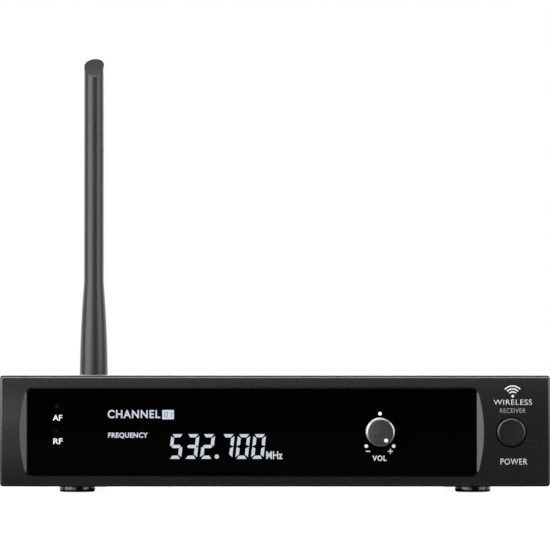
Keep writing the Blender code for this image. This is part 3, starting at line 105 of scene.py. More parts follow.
class Tree:
    """Adds and links the nodes of one node tree."""

    def __init__(self, tree, space):
        self.tree = tree
        self.place = self.add("ShaderNodeTexCoord").outputs[space]

    def add(self, kind, inputs=None, **settings):
        node = self.tree.nodes.new(kind)
        for key, value in settings.items():
            setattr(node, key, value)
        for key, value in (inputs or {}).items():
            if isinstance(value, bpy.types.NodeSocket):
                self.tree.links.new(value, node.inputs[key])
            else:
                node.inputs[key].default_value = value
        return node

    def noise(self, scale, detail=3, roughness=0.55, stretch=(1, 1, 1)):
        spread = self.add("ShaderNodeMapping", {"Vector": self.place, "Scale": stretch})
        inputs = {
            "Vector": spread.outputs["Vector"],
            "Scale": scale,
            "Detail": detail,
            "Roughness": roughness,
        }
        return self.add("ShaderNodeTexNoise", inputs).outputs["Fac"]

    def cells(self, scale, feature="F1"):
        inputs = {"Vector": self.place, "Scale": scale}
        node = self.add("ShaderNodeTexVoronoi", inputs, feature=feature)
        return node.outputs["Distance"]

    def split(self, vector):
        return self.add("ShaderNodeSeparateXYZ", {"Vector": vector}).outputs

    def math(self, operation, a, b=0.0, c=0.0):
        return self.add("ShaderNodeMath", {0: a, 1: b, 2: c}, operation=operation).outputs[0]

    def remap(self, value, low, high, start=0.3, end=0.7):
        inputs = {"Value": value, "From Min": start, "From Max": end, "To Min": low, "To Max": high}
        return self.add("ShaderNodeMapRange", inputs).outputs["Result"]

    def mix(self, factor, dark, light):
        node = self.add("ShaderNodeMix", data_type="RGBA")
        sockets = [s for s in node.inputs if s.enabled]
        for socket, value in zip(sockets, (factor, dark, light)):
            if isinstance(value, bpy.types.NodeSocket):
                self.tree.links.new(value, socket)
            else:
                socket.default_value = (*value, 1)
        return next(s for s in node.outputs if s.enabled)


class Look(Tree):
    """Builds one material's nodes around its Principled shader."""

    def __init__(self, name, **values):
        self.material = bpy.data.materials.new(name)
        self.material.use_nodes = True
        super().__init__(self.material.node_tree, "Object")
        self.shader = self.tree.nodes["Principled BSDF"]
        for key, value in values.items():
            self.shader.inputs[key.replace("_", " ")].default_value = value

    def feed(self, socket, value):
        self.tree.links.new(value, self.shader.inputs[socket])

    def colour(self, pattern, colour, dark, light):
        """The base colour, from dark to light shares of one colour as the pattern rises."""
        tone = self.remap(pattern, 0, 1)
        self.feed("Base Color", self.mix(tone, shade(colour, dark), shade(colour, light)))

    def gloss(self, pattern, low, high):
        """Roughness between two values as the pattern rises."""
        self.feed("Roughness", self.remap(pattern, low, high))

    def bump(self, height, depth, strength=1.0, below=None):
        inputs = {"Height": height, "Distance": depth, "Strength": strength}
        if below is not None:
            inputs["Normal"] = below
        normal = self.add("ShaderNodeBump", inputs).outputs["Normal"]
        self.feed("Normal", normal)
        return normal


RING_PITCH = 0.00022


def shade(colour, factor):
    return tuple(min(c * factor, 1) for c in colour)


def plain_surface(name, colour, rough, grain, depth, mottle=0.18, **values):
    """A surface with a fine grain, a slow drift of tone and gloss, and a faint speckle."""
    look = Look(name, **values)
    drift = look.noise(45, 4)
    fine = look.noise(grain, 2, 0.6)
    tone = look.math("MULTIPLY_ADD", fine, 0.35, look.math("MULTIPLY", drift, 0.65))
    look.colour(tone, colour, 1 - mottle, 1 + mottle)
    blend = look.math("MULTIPLY_ADD", fine, 0.5, look.math("MULTIPLY", drift, 0.5))
    look.gloss(blend, rough * 0.88, rough * 1.12)
    look.bump(fine, depth)
    return look.material


def moulded_plastic(name, colour, rough, texture=5200, depth=0.000005):
    """Spark-textured moulded plastic."""
    look = Look(name, Specular_IOR_Level=0.5)
    drift = look.noise(30, 3)
    fine = look.noise(texture, 2, 0.65)
    pits = look.cells(texture * 0.55)
    look.colour(drift, colour, 0.9, 1.12)
    look.gloss(fine, rough * 0.9, rough * 1.12)
    grain = look.math("MULTIPLY_ADD", pits, 0.5, fine)
    look.bump(grain, depth)
    return look.material


def powder_coat(name, colour):
    """Sheet steel with a fine powder coat: an orange-peel swell under a sharper grit."""
    look = Look(name, Specular_IOR_Level=0.5)
    peel = look.noise(900, 2)
    grit = look.noise(4200, 3, 0.7)
    look.colour(grit, colour, 0.8, 1.3)
    look.gloss(peel, 0.42, 0.56)
    first = look.bump(peel, 0.00004)
    look.bump(grit, 0.00002, below=first)
    return look.material


def gloss_window(name):
    """Smoked acrylic that shows nothing behind it, polished, with the faintest waviness."""
    look = Look(name, Specular_IOR_Level=0.1)
    drift = look.noise(25, 2)
    deep, pale = (0.0002, 0.0002, 0.0003), (0.0005, 0.0005, 0.0006)
    look.feed("Base Color", look.mix(look.remap(drift, 0, 1), deep, pale))
    look.gloss(look.noise(160, 3), 0.03, 0.06)
    look.bump(drift, 0.00002, 0.2)
    return look.material


def antenna_elastomer(name, colour, rough, dull):
    """Elastomer, smooth on its sides and dull on the slanted cut at its tip."""
    look = Look(name)
    drift = look.noise(45, 4)
    fine = look.noise(2600, 2, 0.6)
    facing = look.split(look.add("ShaderNodeTexCoord").outputs["Normal"])
    cut = look.remap(facing["Z"], 0, 1, 0.15, 0.35)
    look.colour(drift, colour, 0.82, 1.18)
    side = look.remap(fine, rough * 0.88, rough * 1.12)
    look.feed("Roughness", look.math("MAXIMUM", side, look.math("MULTIPLY", cut, dull)))
    look.bump(fine, 0.000003)
    return look.material


def turned_metal(name, colour, rim_colour_and_highlight, rim, rough, centre):
    """Metal turned on a lathe about an axis along Y: fine rings round the centre, and outside the rim
    radius a lighter band, partly a bare cut edge and partly a painted highlight."""
    look = Look(name, Metallic=1.0)
    flat = look.add("ShaderNodeVectorMath", {0: look.place, 1: (1, 0, 1)}, operation="MULTIPLY")
    away = look.add(
        "ShaderNodeVectorMath", {0: flat.outputs[0], 1: (centre[0], 0, centre[1])}, operation="DISTANCE"
    ).outputs["Value"]
    rings = look.math("SINE", look.math("MULTIPLY", away, math.tau / RING_PITCH))
    uneven = look.noise(3000, 3)
    height = look.math("MULTIPLY_ADD", uneven, 1.5, rings)
    face = look.mix(look.remap(uneven, 0, 1), shade(colour, 0.85), shade(colour, 1.15))
    # Outside the rim radius the colour is lighter all round: partly bare cut metal, partly a painted
    # highlight.
    edge = look.math("GREATER_THAN", away, rim)
    look.feed("Base Color", look.mix(edge, face, rim_colour_and_highlight))
    look.gloss(uneven, rough * 0.85, rough * 1.15)
    look.bump(height, 0.000004, 0.6)
    return look.material


def plated_metal(name, colour, rough):
    """Plated or bare metal with fine scratches along it."""
    look = Look(name, Metallic=1.0)
    drift = look.noise(220, 4)
    scratch = look.noise(2600, 4, 0.7, (1, 0.08, 1))
    look.colour(drift, colour, 0.86, 1.08)
    look.gloss(scratch, rough * 0.75, rough * 1.35)
    look.bump(scratch, 0.000004, 0.6)
    return look.material


def circuit_board(name):
    """Green solder mask over a maze of copper tracks, with pads."""
    look = Look(name, Coat_Weight=0.3, Coat_Roughness=0.2)
    maze = {"Scale": 160.0, "Mortar Size": 0.018, "Brick Width": 0.9, "Row Height": 0.32}
    tracks = look.add("ShaderNodeTexBrick", {"Vector": look.place, **maze})
    pads = look.math("LESS_THAN", look.cells(340), 0.22)
    copper = look.math("MAXIMUM", tracks.outputs["Fac"], look.math("MULTIPLY", pads, 0.7))
    look.feed("Base Color", look.mix(copper, (0.006, 0.075, 0.03), (0.02, 0.17, 0.07)))
    look.gloss(look.noise(700), 0.3, 0.45)
    look.bump(copper, 0.00003)
    return look.material


def lit_print(name, colour, glow, strength, gloss=0.5):
    """Thin print or a lit segment, its ink very slightly uneven; on a segment the emission is the display's
    backlight, on print it is a painted glow.
    """
    look = Look(name, Roughness=0.5, Emission_Strength=strength, Specular_IOR_Level=gloss)
    uneven = look.noise(2400, 3)
    look.colour(uneven, colour, 0.9, 1.05)
    look.feed("Emission Color", look.mix(look.remap(uneven, 0, 1), shade(glow, 0.9), glow))
    return look.material


FOOT_BLACK = (0.004, 0.004, 0.004)
KNOB_GREY = (0.15, 0.15, 0.155)
# The knob's rim colour is lighter than its face: partly bare cut metal, partly a painted highlight.
RIM_GREY_AND_PAINTED_HIGHLIGHT = (0.3, 0.3, 0.305)
RIM_START = 0.0049

FINISH = {
    "panel_black": moulded_plastic("moulded_black", (0.0046, 0.0046, 0.0048), 0.28),
    "window_smoked": gloss_window("smoked_acrylic"),
    "case_black": powder_coat("black_powder_coat", (0.016, 0.016, 0.017)),
    "foot_rubber": plain_surface(
        "foot_gloss_black", FOOT_BLACK, 0.17, 1800, 0.000002, Specular_IOR_Level=0.85
    ),
    "foot_screw": plated_metal("zinc_screw", (0.5, 0.5, 0.51), 0.32),
    "screw_black": plain_surface("black_oxide", (0.035, 0.035, 0.037), 0.36, 2600, 0.00001, Metallic=0.7),
    "screw_steel": plated_metal("steel_screw", (0.55, 0.55, 0.56), 0.3),
    "circuit_board": circuit_board("green_board"),
    "inner_black": moulded_plastic("inner_black_plastic", (0.02, 0.02, 0.02), 0.55, 3000),
    "display_glass": plain_surface("display_glass", (0.05, 0.07, 0.09), 0.07, 900, 0.000001, Coat_Weight=0.5),
    "diffuser": plain_surface("light_guide", (0.72, 0.77, 0.82), 0.4, 2200, 0.00001, mottle=0.05),
    "lens_green": plain_surface("green_lens", (0.02, 0.35, 0.08), 0.16, 1500, 0.000003),
    "lens_red": plain_surface("red_lens", (0.5, 0.02, 0.02), 0.16, 1500, 0.000003),
    "knob": turned_metal("knob_anodised", KNOB_GREY, RIM_GREY_AND_PAINTED_HIGHLIGHT, RIM_START, 0.3, (KNOB_X, AXIS_Z)),
    "shaft": plated_metal("turned_steel", (0.56, 0.56, 0.56), 0.25),
    "pot_metal": plated_metal("pressed_steel", (0.3, 0.3, 0.31), 0.36),
    "button_black": moulded_plastic("button_satin_black", (0.0038, 0.0038, 0.004), 0.32, 6500, 0.000006),
    "white_plastic": moulded_plastic("natural_nylon", (0.7, 0.69, 0.64), 0.45, 2600),
    "spring_steel": plated_metal("spring_wire", (0.6, 0.6, 0.6), 0.22),
    "shield": plated_metal("tinned_steel", (0.66, 0.65, 0.61), 0.3),
    "can_blue": plain_surface("capacitor_sleeve", (0.02, 0.03, 0.085), 0.3, 1500, 0.000006),
    "nickel": plated_metal("nickel_plate", (0.62, 0.6, 0.56), 0.2),
    "cable_black": plain_surface("cable_jacket_black", (0.014, 0.014, 0.014), 0.5, 2500, 0.00001),
    "cable_grey": plain_surface("cable_jacket_grey", (0.3, 0.3, 0.32), 0.5, 2500, 0.00001),
    "antenna_rubber": antenna_elastomer("antenna_elastomer", (0.011, 0.011, 0.0115), 0.34, 0.75),
}
# The three inks glow a little: painted light, since printed ink gives none of its own.
INK_WHITE_PAINTED_GLOW = lit_print("ink_white_painted_glow", (0.36, 0.36, 0.36), (1, 1, 1), 0.42)
INK_GREY_PAINTED_GLOW = lit_print("ink_grey_painted_glow", (0.22, 0.22, 0.22), (1, 1, 1), 0.03)
INK_SILVER_PAINTED_GLOW = lit_print("ink_silver_painted_glow", (0.42, 0.42, 0.42), (1, 1, 1), 0.1)
LIT_BLUE_WHITE = lit_print("lit_segments", (0.1, 0.11, 0.12), (0.78, 0.86, 0.97), 0.54)
LIT_BOX = lit_print("lit_box", (0.1, 0.11, 0.12), (0.7, 0.82, 0.95), 0.6)
LIT_DIM = lit_print("dim_segments", (0.05, 0.06, 0.07), (0.3, 0.5, 0.7), 0.14)
LAMP_GREEN_OFF = lit_print("lamp_green_dim", (0.0002, 0.001, 0.0008), (0.05, 0.6, 0.4), 0.007, 0.05)
LAMP_RED_OFF = lit_print("lamp_red_dim", (0.0008, 0.0002, 0.0002), (0.5, 0.04, 0.04), 0.003, 0.05)


# ---------------------------------------------------------------- shapes


def rest_mesh(obj):
    """The object's mesh with its modifiers applied; the object itself goes."""
    graph = bpy.context.evaluated_depsgraph_get()
    mesh = bpy.data.meshes.new_from_object(obj.evaluated_get(graph))
    mesh.transform(obj.matrix_world)
    bpy.data.objects.remove(obj)
    return mesh


def scratch(data):
    obj = bpy.data.objects.new("scratch", data)
    bpy.context.scene.collection.objects.link(obj)
    return obj


def finished(bm, angle=38):
    bmesh.ops.remove_doubles(bm, verts=bm.verts, dist=0.000002)
    bmesh.ops.recalc_face_normals(bm, faces=bm.faces)
    mesh = bpy.data.meshes.new("piece")
    bm.to_mesh(mesh)
    bm.free()
    return smoothed(mesh, angle)


def smoothed(mesh, angle=38):
    mesh.shade_smooth()
    mesh.set_sharp_from_angle(angle=math.radians(angle))
    return mesh


def weighted(mesh, angle=38):
    """Smooth shading that keeps the large flat faces flat."""
    obj = scratch(smoothed(mesh, angle))
    even = obj.modifiers.new("Even", "WEIGHTED_NORMAL")
    even.keep_sharp = True
    even.weight = 80
    return rest_mesh(obj)


def rounded(points, steps=5):
    """A profile whose points may each carry a radius that rounds its corner."""
    out = []
    count = len(points)
    for i, point in enumerate(points):
        here = Vector(point[:2])
        radius = point[2] if len(point) > 2 else 0
        if not radius:
            out.append(tuple(here))
            continue
        before = (Vector(points[i - 1][:2]) - here).normalized()
        after = (Vector(points[(i + 1) % count][:2]) - here).normalized()
        half = before.angle(after) / 2
        reach = radius / math.tan(half)
        start = here + before * reach
        end = here + after * reach
        centre = here + (before + after).normalized() * radius / math.sin(half)
        a, b = start - centre, end - centre
        sweep = a.angle(b)
        for k in range(steps + 1):
            t = k / steps
            turned = (a * math.sin((1 - t) * sweep) + b * math.sin(t * sweep)) / math.sin(sweep)
            out.append(tuple(centre + turned))
    return out


def arc(u, v, radius, start, end, steps):
    angles = [math.radians(start + (end - start) * i / steps) for i in range(steps + 1)]
    return [(u + radius * math.cos(a), v + radius * math.sin(a)) for a in angles]


def box_outline(width, height, radius, steps=10):
    corners = ((1, 1, 0), (-1, 1, 90), (-1, -1, 180), (1, -1, 270))
    u, v = width / 2 - radius, height / 2 - radius
    return [p for a, b, turn in corners for p in arc(a * u, b * v, radius, turn, turn + 90, steps)]


def middle_of(node):
    low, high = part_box(node)
    return (low + high) / 2


def towards(axis):
    return Vector((0, 0, 1)).rotation_difference(AXES[axis]).to_matrix().to_4x4()


def lathe(profile, place, axis, ring=False, steps=96, angle=38):
    """A turned piece from (radius, height) points, along an axis that starts at place."""
    bm = bmesh.new()
    rows = []
    for radius, height in profile:
        if radius < 1e-7:
            rows.append([bm.verts.new((0, 0, height))])
            continue
        turns = [math.tau * i / steps for i in range(steps)]
        rows.append([bm.verts.new((radius * math.cos(t), radius * math.sin(t), height)) for t in turns])
    pairs = list(zip(rows, rows[1:]))
    if ring:
        pairs.append((rows[-1], rows[0]))
    for low, high in pairs:
        for i in range(steps):
            j = (i + 1) % steps
            corners = [low[i % len(low)], low[j % len(low)], high[j % len(high)], high[i % len(high)]]
            corners = list(dict.fromkeys(corners))
            if len(corners) > 2:
                bm.faces.new(corners)
    bm.transform(Matrix.Translation(place) @ towards(axis))
    return finished(bm, angle)


def plate(outlines, depth, place, axis="front", bevel=0.0, turn=Matrix.Identity(4), fineness=2):
    """A flat piece from (u, v) outlines, the inner ones holes, u to the right and v up as its
    front is seen, made depth thick behind place with bevelled rims."""
    curve = bpy.data.curves.new("outline", "CURVE")
    curve.dimensions = "2D"
    curve.fill_mode = "BOTH"
    curve.extrude = depth / 2 - bevel
    curve.bevel_depth = bevel
    curve.bevel_resolution = fineness
    curve.offset = -bevel
    for outline in outlines:
        spline = curve.splines.new("POLY")
        spline.points.add(len(outline) - 1)
        for point, (u, v) in zip(spline.points, outline):
            point.co = (u, v, 0, 1)
        spline.use_cyclic_u = True
    mesh = rest_mesh(scratch(curve))
    bm = bmesh.new()
    bm.from_mesh(mesh)
    bm.transform(Matrix.Translation(place) @ FACING[axis] @ turn @ Matrix.Translation((0, 0, -depth / 2)))
    mesh = finished(bm)
    return weighted(mesh) if bevel else mesh


# Turns a flat piece from facing up to facing an axis, its v still up
FACING = {
    "front": Matrix.Rotation(math.pi / 2, 4, "X"),
    "back": Matrix.Rotation(math.pi, 4, "Z") @ Matrix.Rotation(math.pi / 2, 4, "X"),
    "right": Matrix.Rotation(math.pi / 2, 4, "Z") @ Matrix.Rotation(math.pi / 2, 4, "X"),
    "left": Matrix.Rotation(-math.pi / 2, 4, "Z") @ Matrix.Rotation(math.pi / 2, 4, "X"),
    "up": Matrix.Identity(4),
    "down": Matrix.Rotation(math.pi, 4, "X"),
}


def block(low, high):
    bm = bmesh.new()
    bmesh.ops.create_cube(bm, size=1)
    size = [b - a for a, b in zip(low, high)]
    centre = [(a + b) / 2 for a, b in zip(low, high)]
    bm.transform(Matrix.Translation(centre) @ Matrix.Diagonal((*size, 1)))
    return finished(bm)


def rod(radius, length, place, axis, steps=48, end=None):
    end = radius if end is None else end
    return lathe([(0, 0), (radius, 0), (end, length), (0, length)], place, axis, steps=steps)


def solid(mesh, cutters=(), joined=(), edge=0.0, edge_angle=40):
    """The mesh with others joined to it and cut from it, and its sharp edges broken."""
    obj = scratch(mesh)
    tools = []
    for operation, others in (("UNION", joined), ("DIFFERENCE", cutters)):
        for other in others:
            tool = scratch(other)
            tool.hide_render = True
            tools.append(tool)
            step = obj.modifiers.new(operation, "BOOLEAN")
            step.operation = operation
            step.solver = "EXACT"
            step.object = tool
    if edge:
        bevel = obj.modifiers.new("Edge", "BEVEL")
        bevel.width = edge
        bevel.segments = 2
        bevel.limit_method = "ANGLE"
        bevel.angle_limit = math.radians(edge_angle)
        bevel.use_clamp_overlap = True
    result = rest_mesh(obj)
    for tool in tools:
        bpy.data.objects.remove(tool)
    return result


def piece(name, mesh, slot, body="enclosure", stands_for=(), finish=None):
    obj = bpy.data.objects.new(name, mesh)
    bpy.context.scene.collection.objects.link(obj)
    mesh.materials.clear()
    mesh.materials.append(finish or FINISH[slot])
    for polygon in mesh.polygons:
        polygon.material_index = 0
    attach(obj, body)
    if stands_for:
        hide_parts(*stands_for)
    return obj


# ---------------------------------------------------------------- front panel

BUTTON_BORE = 0.00595
KNOB_BORE = 0.0033
SHAFT_HOLE = 0.0041
PAST = 0.001


def face_y(z):
    """The curved face's place at a height."""
    return FACE_Y + FACE_CURVE - math.sqrt(FACE_CURVE**2 - (z - AXIS_Z) ** 2)


def curved_block():
    """The block behind the curved face, its outer edges rounded apart from those at the back."""
    bm = bmesh.new()
    low, high = BOTTOM + 1.5 * FACE_EDGE, TOP - 1.5 * FACE_EDGE
    heights = [BOTTOM, *(low + (high - low) * i / FACE_STEPS for i in range(FACE_STEPS + 1)), TOP]
    outline = [(BACK_Y, BOTTOM), *((face_y(z), z) for z in heights), (BACK_Y, TOP)]
    end = bm.faces.new([bm.verts.new((-HALF, y, z)) for y, z in outline])
    grown = bmesh.ops.extrude_face_region(bm, geom=[end])["geom"]
    moved = [g for g in grown if isinstance(g, bmesh.types.BMVert)]
    bmesh.ops.translate(bm, vec=(2 * HALF, 0, 0), verts=moved)
    weight = bm.edges.layers.float.new("bevel_weight_edge")
    for edge in bm.edges:
        a, b = (v.co for v in edge.verts)
        behind = min(a.y, b.y) > BACK_Y - GAP
        on_side = abs(a.x - b.x) < GAP
        on_end = abs(a.x - b.x) > GAP and (max(a.z, b.z) < BOTTOM + GAP or min(a.z, b.z) > TOP - GAP)
        edge[weight] = float(not behind and (on_side or on_end))
    mesh = finished(bm)
    obj = scratch(mesh)
    bevel = obj.modifiers.new("Edge", "BEVEL")
    bevel.width = FACE_EDGE
    bevel.segments = 6
    bevel.limit_method = "WEIGHT"
    bevel.use_clamp_overlap = False
    return rest_mesh(obj)


def window_cutters():
    """The pocket that holds the window, and the slopes from its ends out to the face."""
    low, high = WINDOW_LOW, WINDOW_HIGH
    width = high.x - low.x + 2 * GAP
    height = high.z - low.z + 2 * GAP
    middle = (low.x + high.x) / 2
    pocket = plate(
        [box_outline(width, height, WINDOW_CORNER)], FLOOR_Y - FACE_Y + 0.01, (middle, FACE_Y - 0.01, AXIS_Z)
    )
    reach = 2 * (WINDOW_Y - FACE_Y)
    left, right = low.x - GAP, high.x + GAP
    outline = [
        (left, WINDOW_Y),
        (right, WINDOW_Y),
        (right + FLARE * reach, WINDOW_Y - reach),
        (left - FLARE * reach, WINDOW_Y - reach),
    ]
    tall = height - 2 * WINDOW_CORNER
    flare = plate([outline], tall, (0, 0, AXIS_Z + tall / 2), "up")
    return pocket, flare


def front_panel():
    inner = HALF - FACE_WALL
    hollow = block((-inner, FLOOR_BACK_Y, BOTTOM + FACE_WALL), (inner, BACK_Y + 0.01, TOP - FACE_WALL))
    bore = rod(BUTTON_BORE, 0.03, (BUTTON_X, FACE_Y - 0.01, AXIS_Z), "back", 96)
    knob_hole = rod(SHAFT_HOLE, 0.02, (KNOB_X, FLOOR_Y - PAST, AXIS_Z), "back", 48)
    low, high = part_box("lcd_frame")
    opening = block(
        (low.x + GAP, FLOOR_Y - PAST, low.z + GAP), (high.x - GAP, FLOOR_BACK_Y + PAST, high.z - GAP)
    )
    shell = solid(curved_block(), cutters=(hollow, *window_cutters(), bore, knob_hole, opening))
    piece("front_shell", weighted(shell, 30), "panel_black", stands_for=("front_panel",))


def display_window():
    width, height = WINDOW_HIGH.x - WINDOW_LOW.x, WINDOW_HIGH.z - WINDOW_LOW.z
    middle = (WINDOW_LOW.x + WINDOW_HIGH.x) / 2
    outline = box_outline(width, height, WINDOW_CORNER - GAP)
    hole = dot(KNOB_X - middle, 0, KNOB_BORE, 48)
    mesh = plate([outline, hole], WINDOW_HIGH.y - WINDOW_Y, (middle, WINDOW_Y, AXIS_Z), bevel=0.00012)
    piece("window_plate", mesh, "window_smoked", stands_for=("display_window",))


# ---------------------------------------------------------------- print and lit figures


def on_window(z):
    return WINDOW_Y


def printed(name, mesh, finish, slot="window_smoked", surface=on_window, body="enclosure"):
    """Lays a flat mesh of (x, z, height) on a surface: its height sign tells front from back."""
    for vertex in mesh.vertices:
        u, v, side = vertex.co
        vertex.co = (u, surface(v) - (PRINT if side > 0 else -PRINT), v)
    bm = bmesh.new()
    bm.from_mesh(mesh)
    bmesh.ops.triangulate(bm, faces=bm.faces)
    return piece(name, finished(bm), slot, body, finish=finish)


def flat_shapes(outlines):
    """Closed outlines of (x, z) points, each made a thin plate about zero height."""
    bm = bmesh.new()
    for outline in outlines:
        face = bm.faces.new([bm.verts.new((u, v, -1)) for u, v in outline])
        grown = bmesh.ops.extrude_face_region(bm, geom=[face])["geom"]
        moved = [g for g in grown if isinstance(g, bmesh.types.BMVert)]
        bmesh.ops.translate(bm, vec=(0, 0, 2), verts=moved)
    mesh = bpy.data.meshes.new("flat")
    bm.to_mesh(mesh)
    bm.free()
    return mesh


def lettering(name, text, left, right, bottom, top, finish, weight=0.0, spacing=1.0, **where):
    """A word fitted between four edges, given from the face's middle and the knob's height."""
    font = bpy.data.curves.new("word", "FONT")
    font.body = text
    font.extrude = 1
    font.offset = weight
    font.space_character = spacing
    font.resolution_u = 4
    mesh = rest_mesh(scratch(font))
    us = [v.co.x for v in mesh.vertices]
    vs = [v.co.y for v in mesh.vertices]
    wide = (right - left) / (max(us) - min(us))
    tall = (top - bottom) / (max(vs) - min(vs))
    for vertex in mesh.vertices:
        u, v, side = vertex.co
        vertex.co = (left + (u - min(us)) * wide, AXIS_Z + bottom + (v - min(vs)) * tall, side)
    return printed(name, mesh, finish, **where)


def dot(x, z, radius, steps=28):
    return arc(x, z, radius, 0, 360 - 360 / steps, steps - 1)


def bar(x, z, width, height):
    u, v = width / 2, height / 2
    return [(x - u, z - v), (x + u, z - v), (x + u, z + v), (x - u, z + v)]


SEGMENTS = {
    "0": "abcdef",
    "1": "bc",
    "2": "abged",
    "3": "abgcd",
    "5": "afgcd",
    "7": "abc",
}
DIGIT_WIDTH = 0.0048
DIGIT_HEIGHT = 0.0095
DIGIT_STROKE = 0.00125
DIGIT_SLANT = math.tan(math.radians(6.5))
DIGIT_PITCH = 0.00603
DIGIT_BREAK = 0.00017
POINT_SPACE = 0.0015
SMALL_DIGIT = (0.00125, 0.0022, 0.00034, 0.00004)


def segment(key, width, height, stroke, gap):
    """One bar of a seven-segment figure, about the figure's lower left corner."""
    mid = height / 2
    half = stroke / 2
    rows = {"a": height - half, "g": mid, "d": half}
    if key in rows:
        v = rows[key]
        cut = stroke * 0.55
        left, right = gap + half * 0.5, width - gap - half * 0.5
        inner = [(left + cut * 1.3, right - cut * 1.3), (left, right)]
        if key in "ad":
            (a, b), (c, d) = inner if key == "a" else inner[::-1]
            return [(a, v - half), (b, v - half), (d, v + half), (c, v + half)]
        return [
            (left + cut, v - half),
            (right - cut, v - half),
            (right, v),
            (right - cut, v + half),
            (left + cut, v + half),
            (left, v),
        ]
    low = half * 0.9 + gap if key in "ce" else mid + gap
    high = mid - gap if key in "ce" else height - half * 0.9 - gap
    shapes = [(0, 0), (stroke, 0), (stroke, 1), (0, 1)]
    inner_low = low + (stroke * 0.75 if key in "ce" else half * 0.8)
    inner_high = high - (half * 0.8 if key in "ce" else stroke * 0.75)
    levels = {(0, 0): low, (stroke, 0): inner_low, (stroke, 1): inner_high, (0, 1): high}
    right_side = key in "bc"
    return [(width - u if right_side else u, levels[(u, v)]) for u, v in shapes]


def figure(character, right, bottom, size=(DIGIT_WIDTH, DIGIT_HEIGHT, DIGIT_STROKE, DIGIT_BREAK)):
    """A slanted seven-segment figure; its size is width, height, stroke and the breaks' half."""
    width, height = size[:2]
    bars = [segment(key, *size) for key in SEGMENTS[character]]
    left = right - width
    return [[(left + u + (v - height) * DIGIT_SLANT, bottom + v) for u, v in bar] for bar in bars]


def frequency():
    right = -0.03505
    bottom = AXIS_Z - 0.0103
    shapes = [dot(-0.0224, bottom + 0.00085, 0.00083)]
    for i, character in enumerate("532700"):
        shift = POINT_SPACE if i > 2 else 0
        shapes += figure(character, right + i * DIGIT_PITCH + shift, bottom)
    printed("frequency_digits", flat_shapes(shapes), LIT_BLUE_WHITE, "display_glass")


def channel_box():
    low, high = (-0.0434, 0.0049), (-0.0389, 0.0085)
    middle = ((low[0] + high[0]) / 2, AXIS_Z + (low[1] + high[1]) / 2)
    sides = high[0] - low[0], high[1] - low[1]
    outline = [(middle[0] + u, middle[1] + v) for u, v in box_outline(*sides, 0.0002, 3)]
    printed("channel_box", flat_shapes([outline]), LIT_BOX, "display_glass")
    shapes = []
    for character, right in (("0", -0.04115), ("1", -0.0396)):
        shapes += figure(character, right, AXIS_Z + 0.0056, SMALL_DIGIT)
    above = WINDOW_Y - 1.5 * PRINT
    printed("channel_digits", flat_shapes(shapes), LIT_DIM, "display_glass", surface=lambda z: above)


# Print on the window glows a little as painted light; LIT words glow with the display's backlight.
PRINT_WITH_PAINTED_GLOW = (INK_WHITE_PAINTED_GLOW, "window_smoked")
LIT = (LIT_BLUE_WHITE, "display_glass")
# Words in the window: text, left, right, bottom, top, the strokes' added weight, spacing, kind
WINDOW_WORDS = (
    ("AF", -0.0855, -0.0819, 0.0044, 0.0066, 0.015, 1.0, PRINT_WITH_PAINTED_GLOW),
    ("RF", -0.0853, -0.0817, -0.0046, -0.0024, 0.015, 1.0, PRINT_WITH_PAINTED_GLOW),
    ("CHANNEL", -0.0644, -0.0442, 0.0053, 0.0085, 0.025, 1.15, LIT),
    ("FREQUENCY", -0.0642, -0.0489, -0.00255, -0.0002, 0.035, 1.1, LIT),
    ("MHz", -0.0034, 0.0029, -0.0104, -0.0074, 0.02, 1.0, LIT),
    ("VOL", 0.0375, 0.0429, -0.0111, -0.009, 0.02, 1.1, PRINT_WITH_PAINTED_GLOW),
)
# The volume scale's three dots, as turns from the top, and its plus and minus
SCALE_TURNS = [math.radians(a) for a in (0, 134, 226)]
SCALE_RADIUS = 0.00735
SCALE_DROP = 0.0003
SCALE_DOT = 0.00071
MARK_DROP = 0.0074
MINUS_X = 0.0358
PLUS_X = 0.0444
# The two lamps: name, x, rise over the knob's height, finish
LAMPS = (("lamp_af", -0.0839, 0.0098, LAMP_GREEN_OFF), ("lamp_rf", -0.0841, 0.0002, LAMP_RED_OFF))
LAMP_RADIUS = 0.00078


def window_print():
    for text, *edges, weight, spacing, (finish, slot) in WINDOW_WORDS:
        lettering(f"label_{text.lower()}", text, *edges, finish, weight, spacing, slot=slot)
    level = AXIS_Z - SCALE_DROP
    places = [(KNOB_X + SCALE_RADIUS * math.sin(t), level + SCALE_RADIUS * math.cos(t)) for t in SCALE_TURNS]
    printed("volume_scale", flat_shapes([dot(*place, SCALE_DOT) for place in places]), INK_WHITE_PAINTED_GLOW)
    level = AXIS_Z - MARK_DROP
    minus = bar(MINUS_X, level, 0.0017, 0.00036)
    plus = [bar(PLUS_X, level, 0.0019, 0.00034)]
    plus += [bar(PLUS_X, level + side * 0.00056, 0.00034, 0.00078) for side in (-1, 1)]
    printed("minus_mark", flat_shapes([minus]), INK_WHITE_PAINTED_GLOW)
    printed("plus_mark", flat_shapes(plus), INK_WHITE_PAINTED_GLOW)
    for name, x, rise, finish in LAMPS:
        printed(name, flat_shapes([dot(x, AXIS_Z + rise, LAMP_RADIUS)]), finish)


def wave_mark(x, z, size):
    """Three arcs over a dot: radio waves."""
    shapes = [dot(x, z, size * 0.13)]
    width = size * 0.1
    for radius in (0.38, 0.66, 0.94):
        outer = arc(x, z, size * radius + width, 42, 138, 16)
        inner = arc(x, z, size * radius - width * 0.2, 138, 42, 16)
        shapes.append(outer + inner)
    return shapes


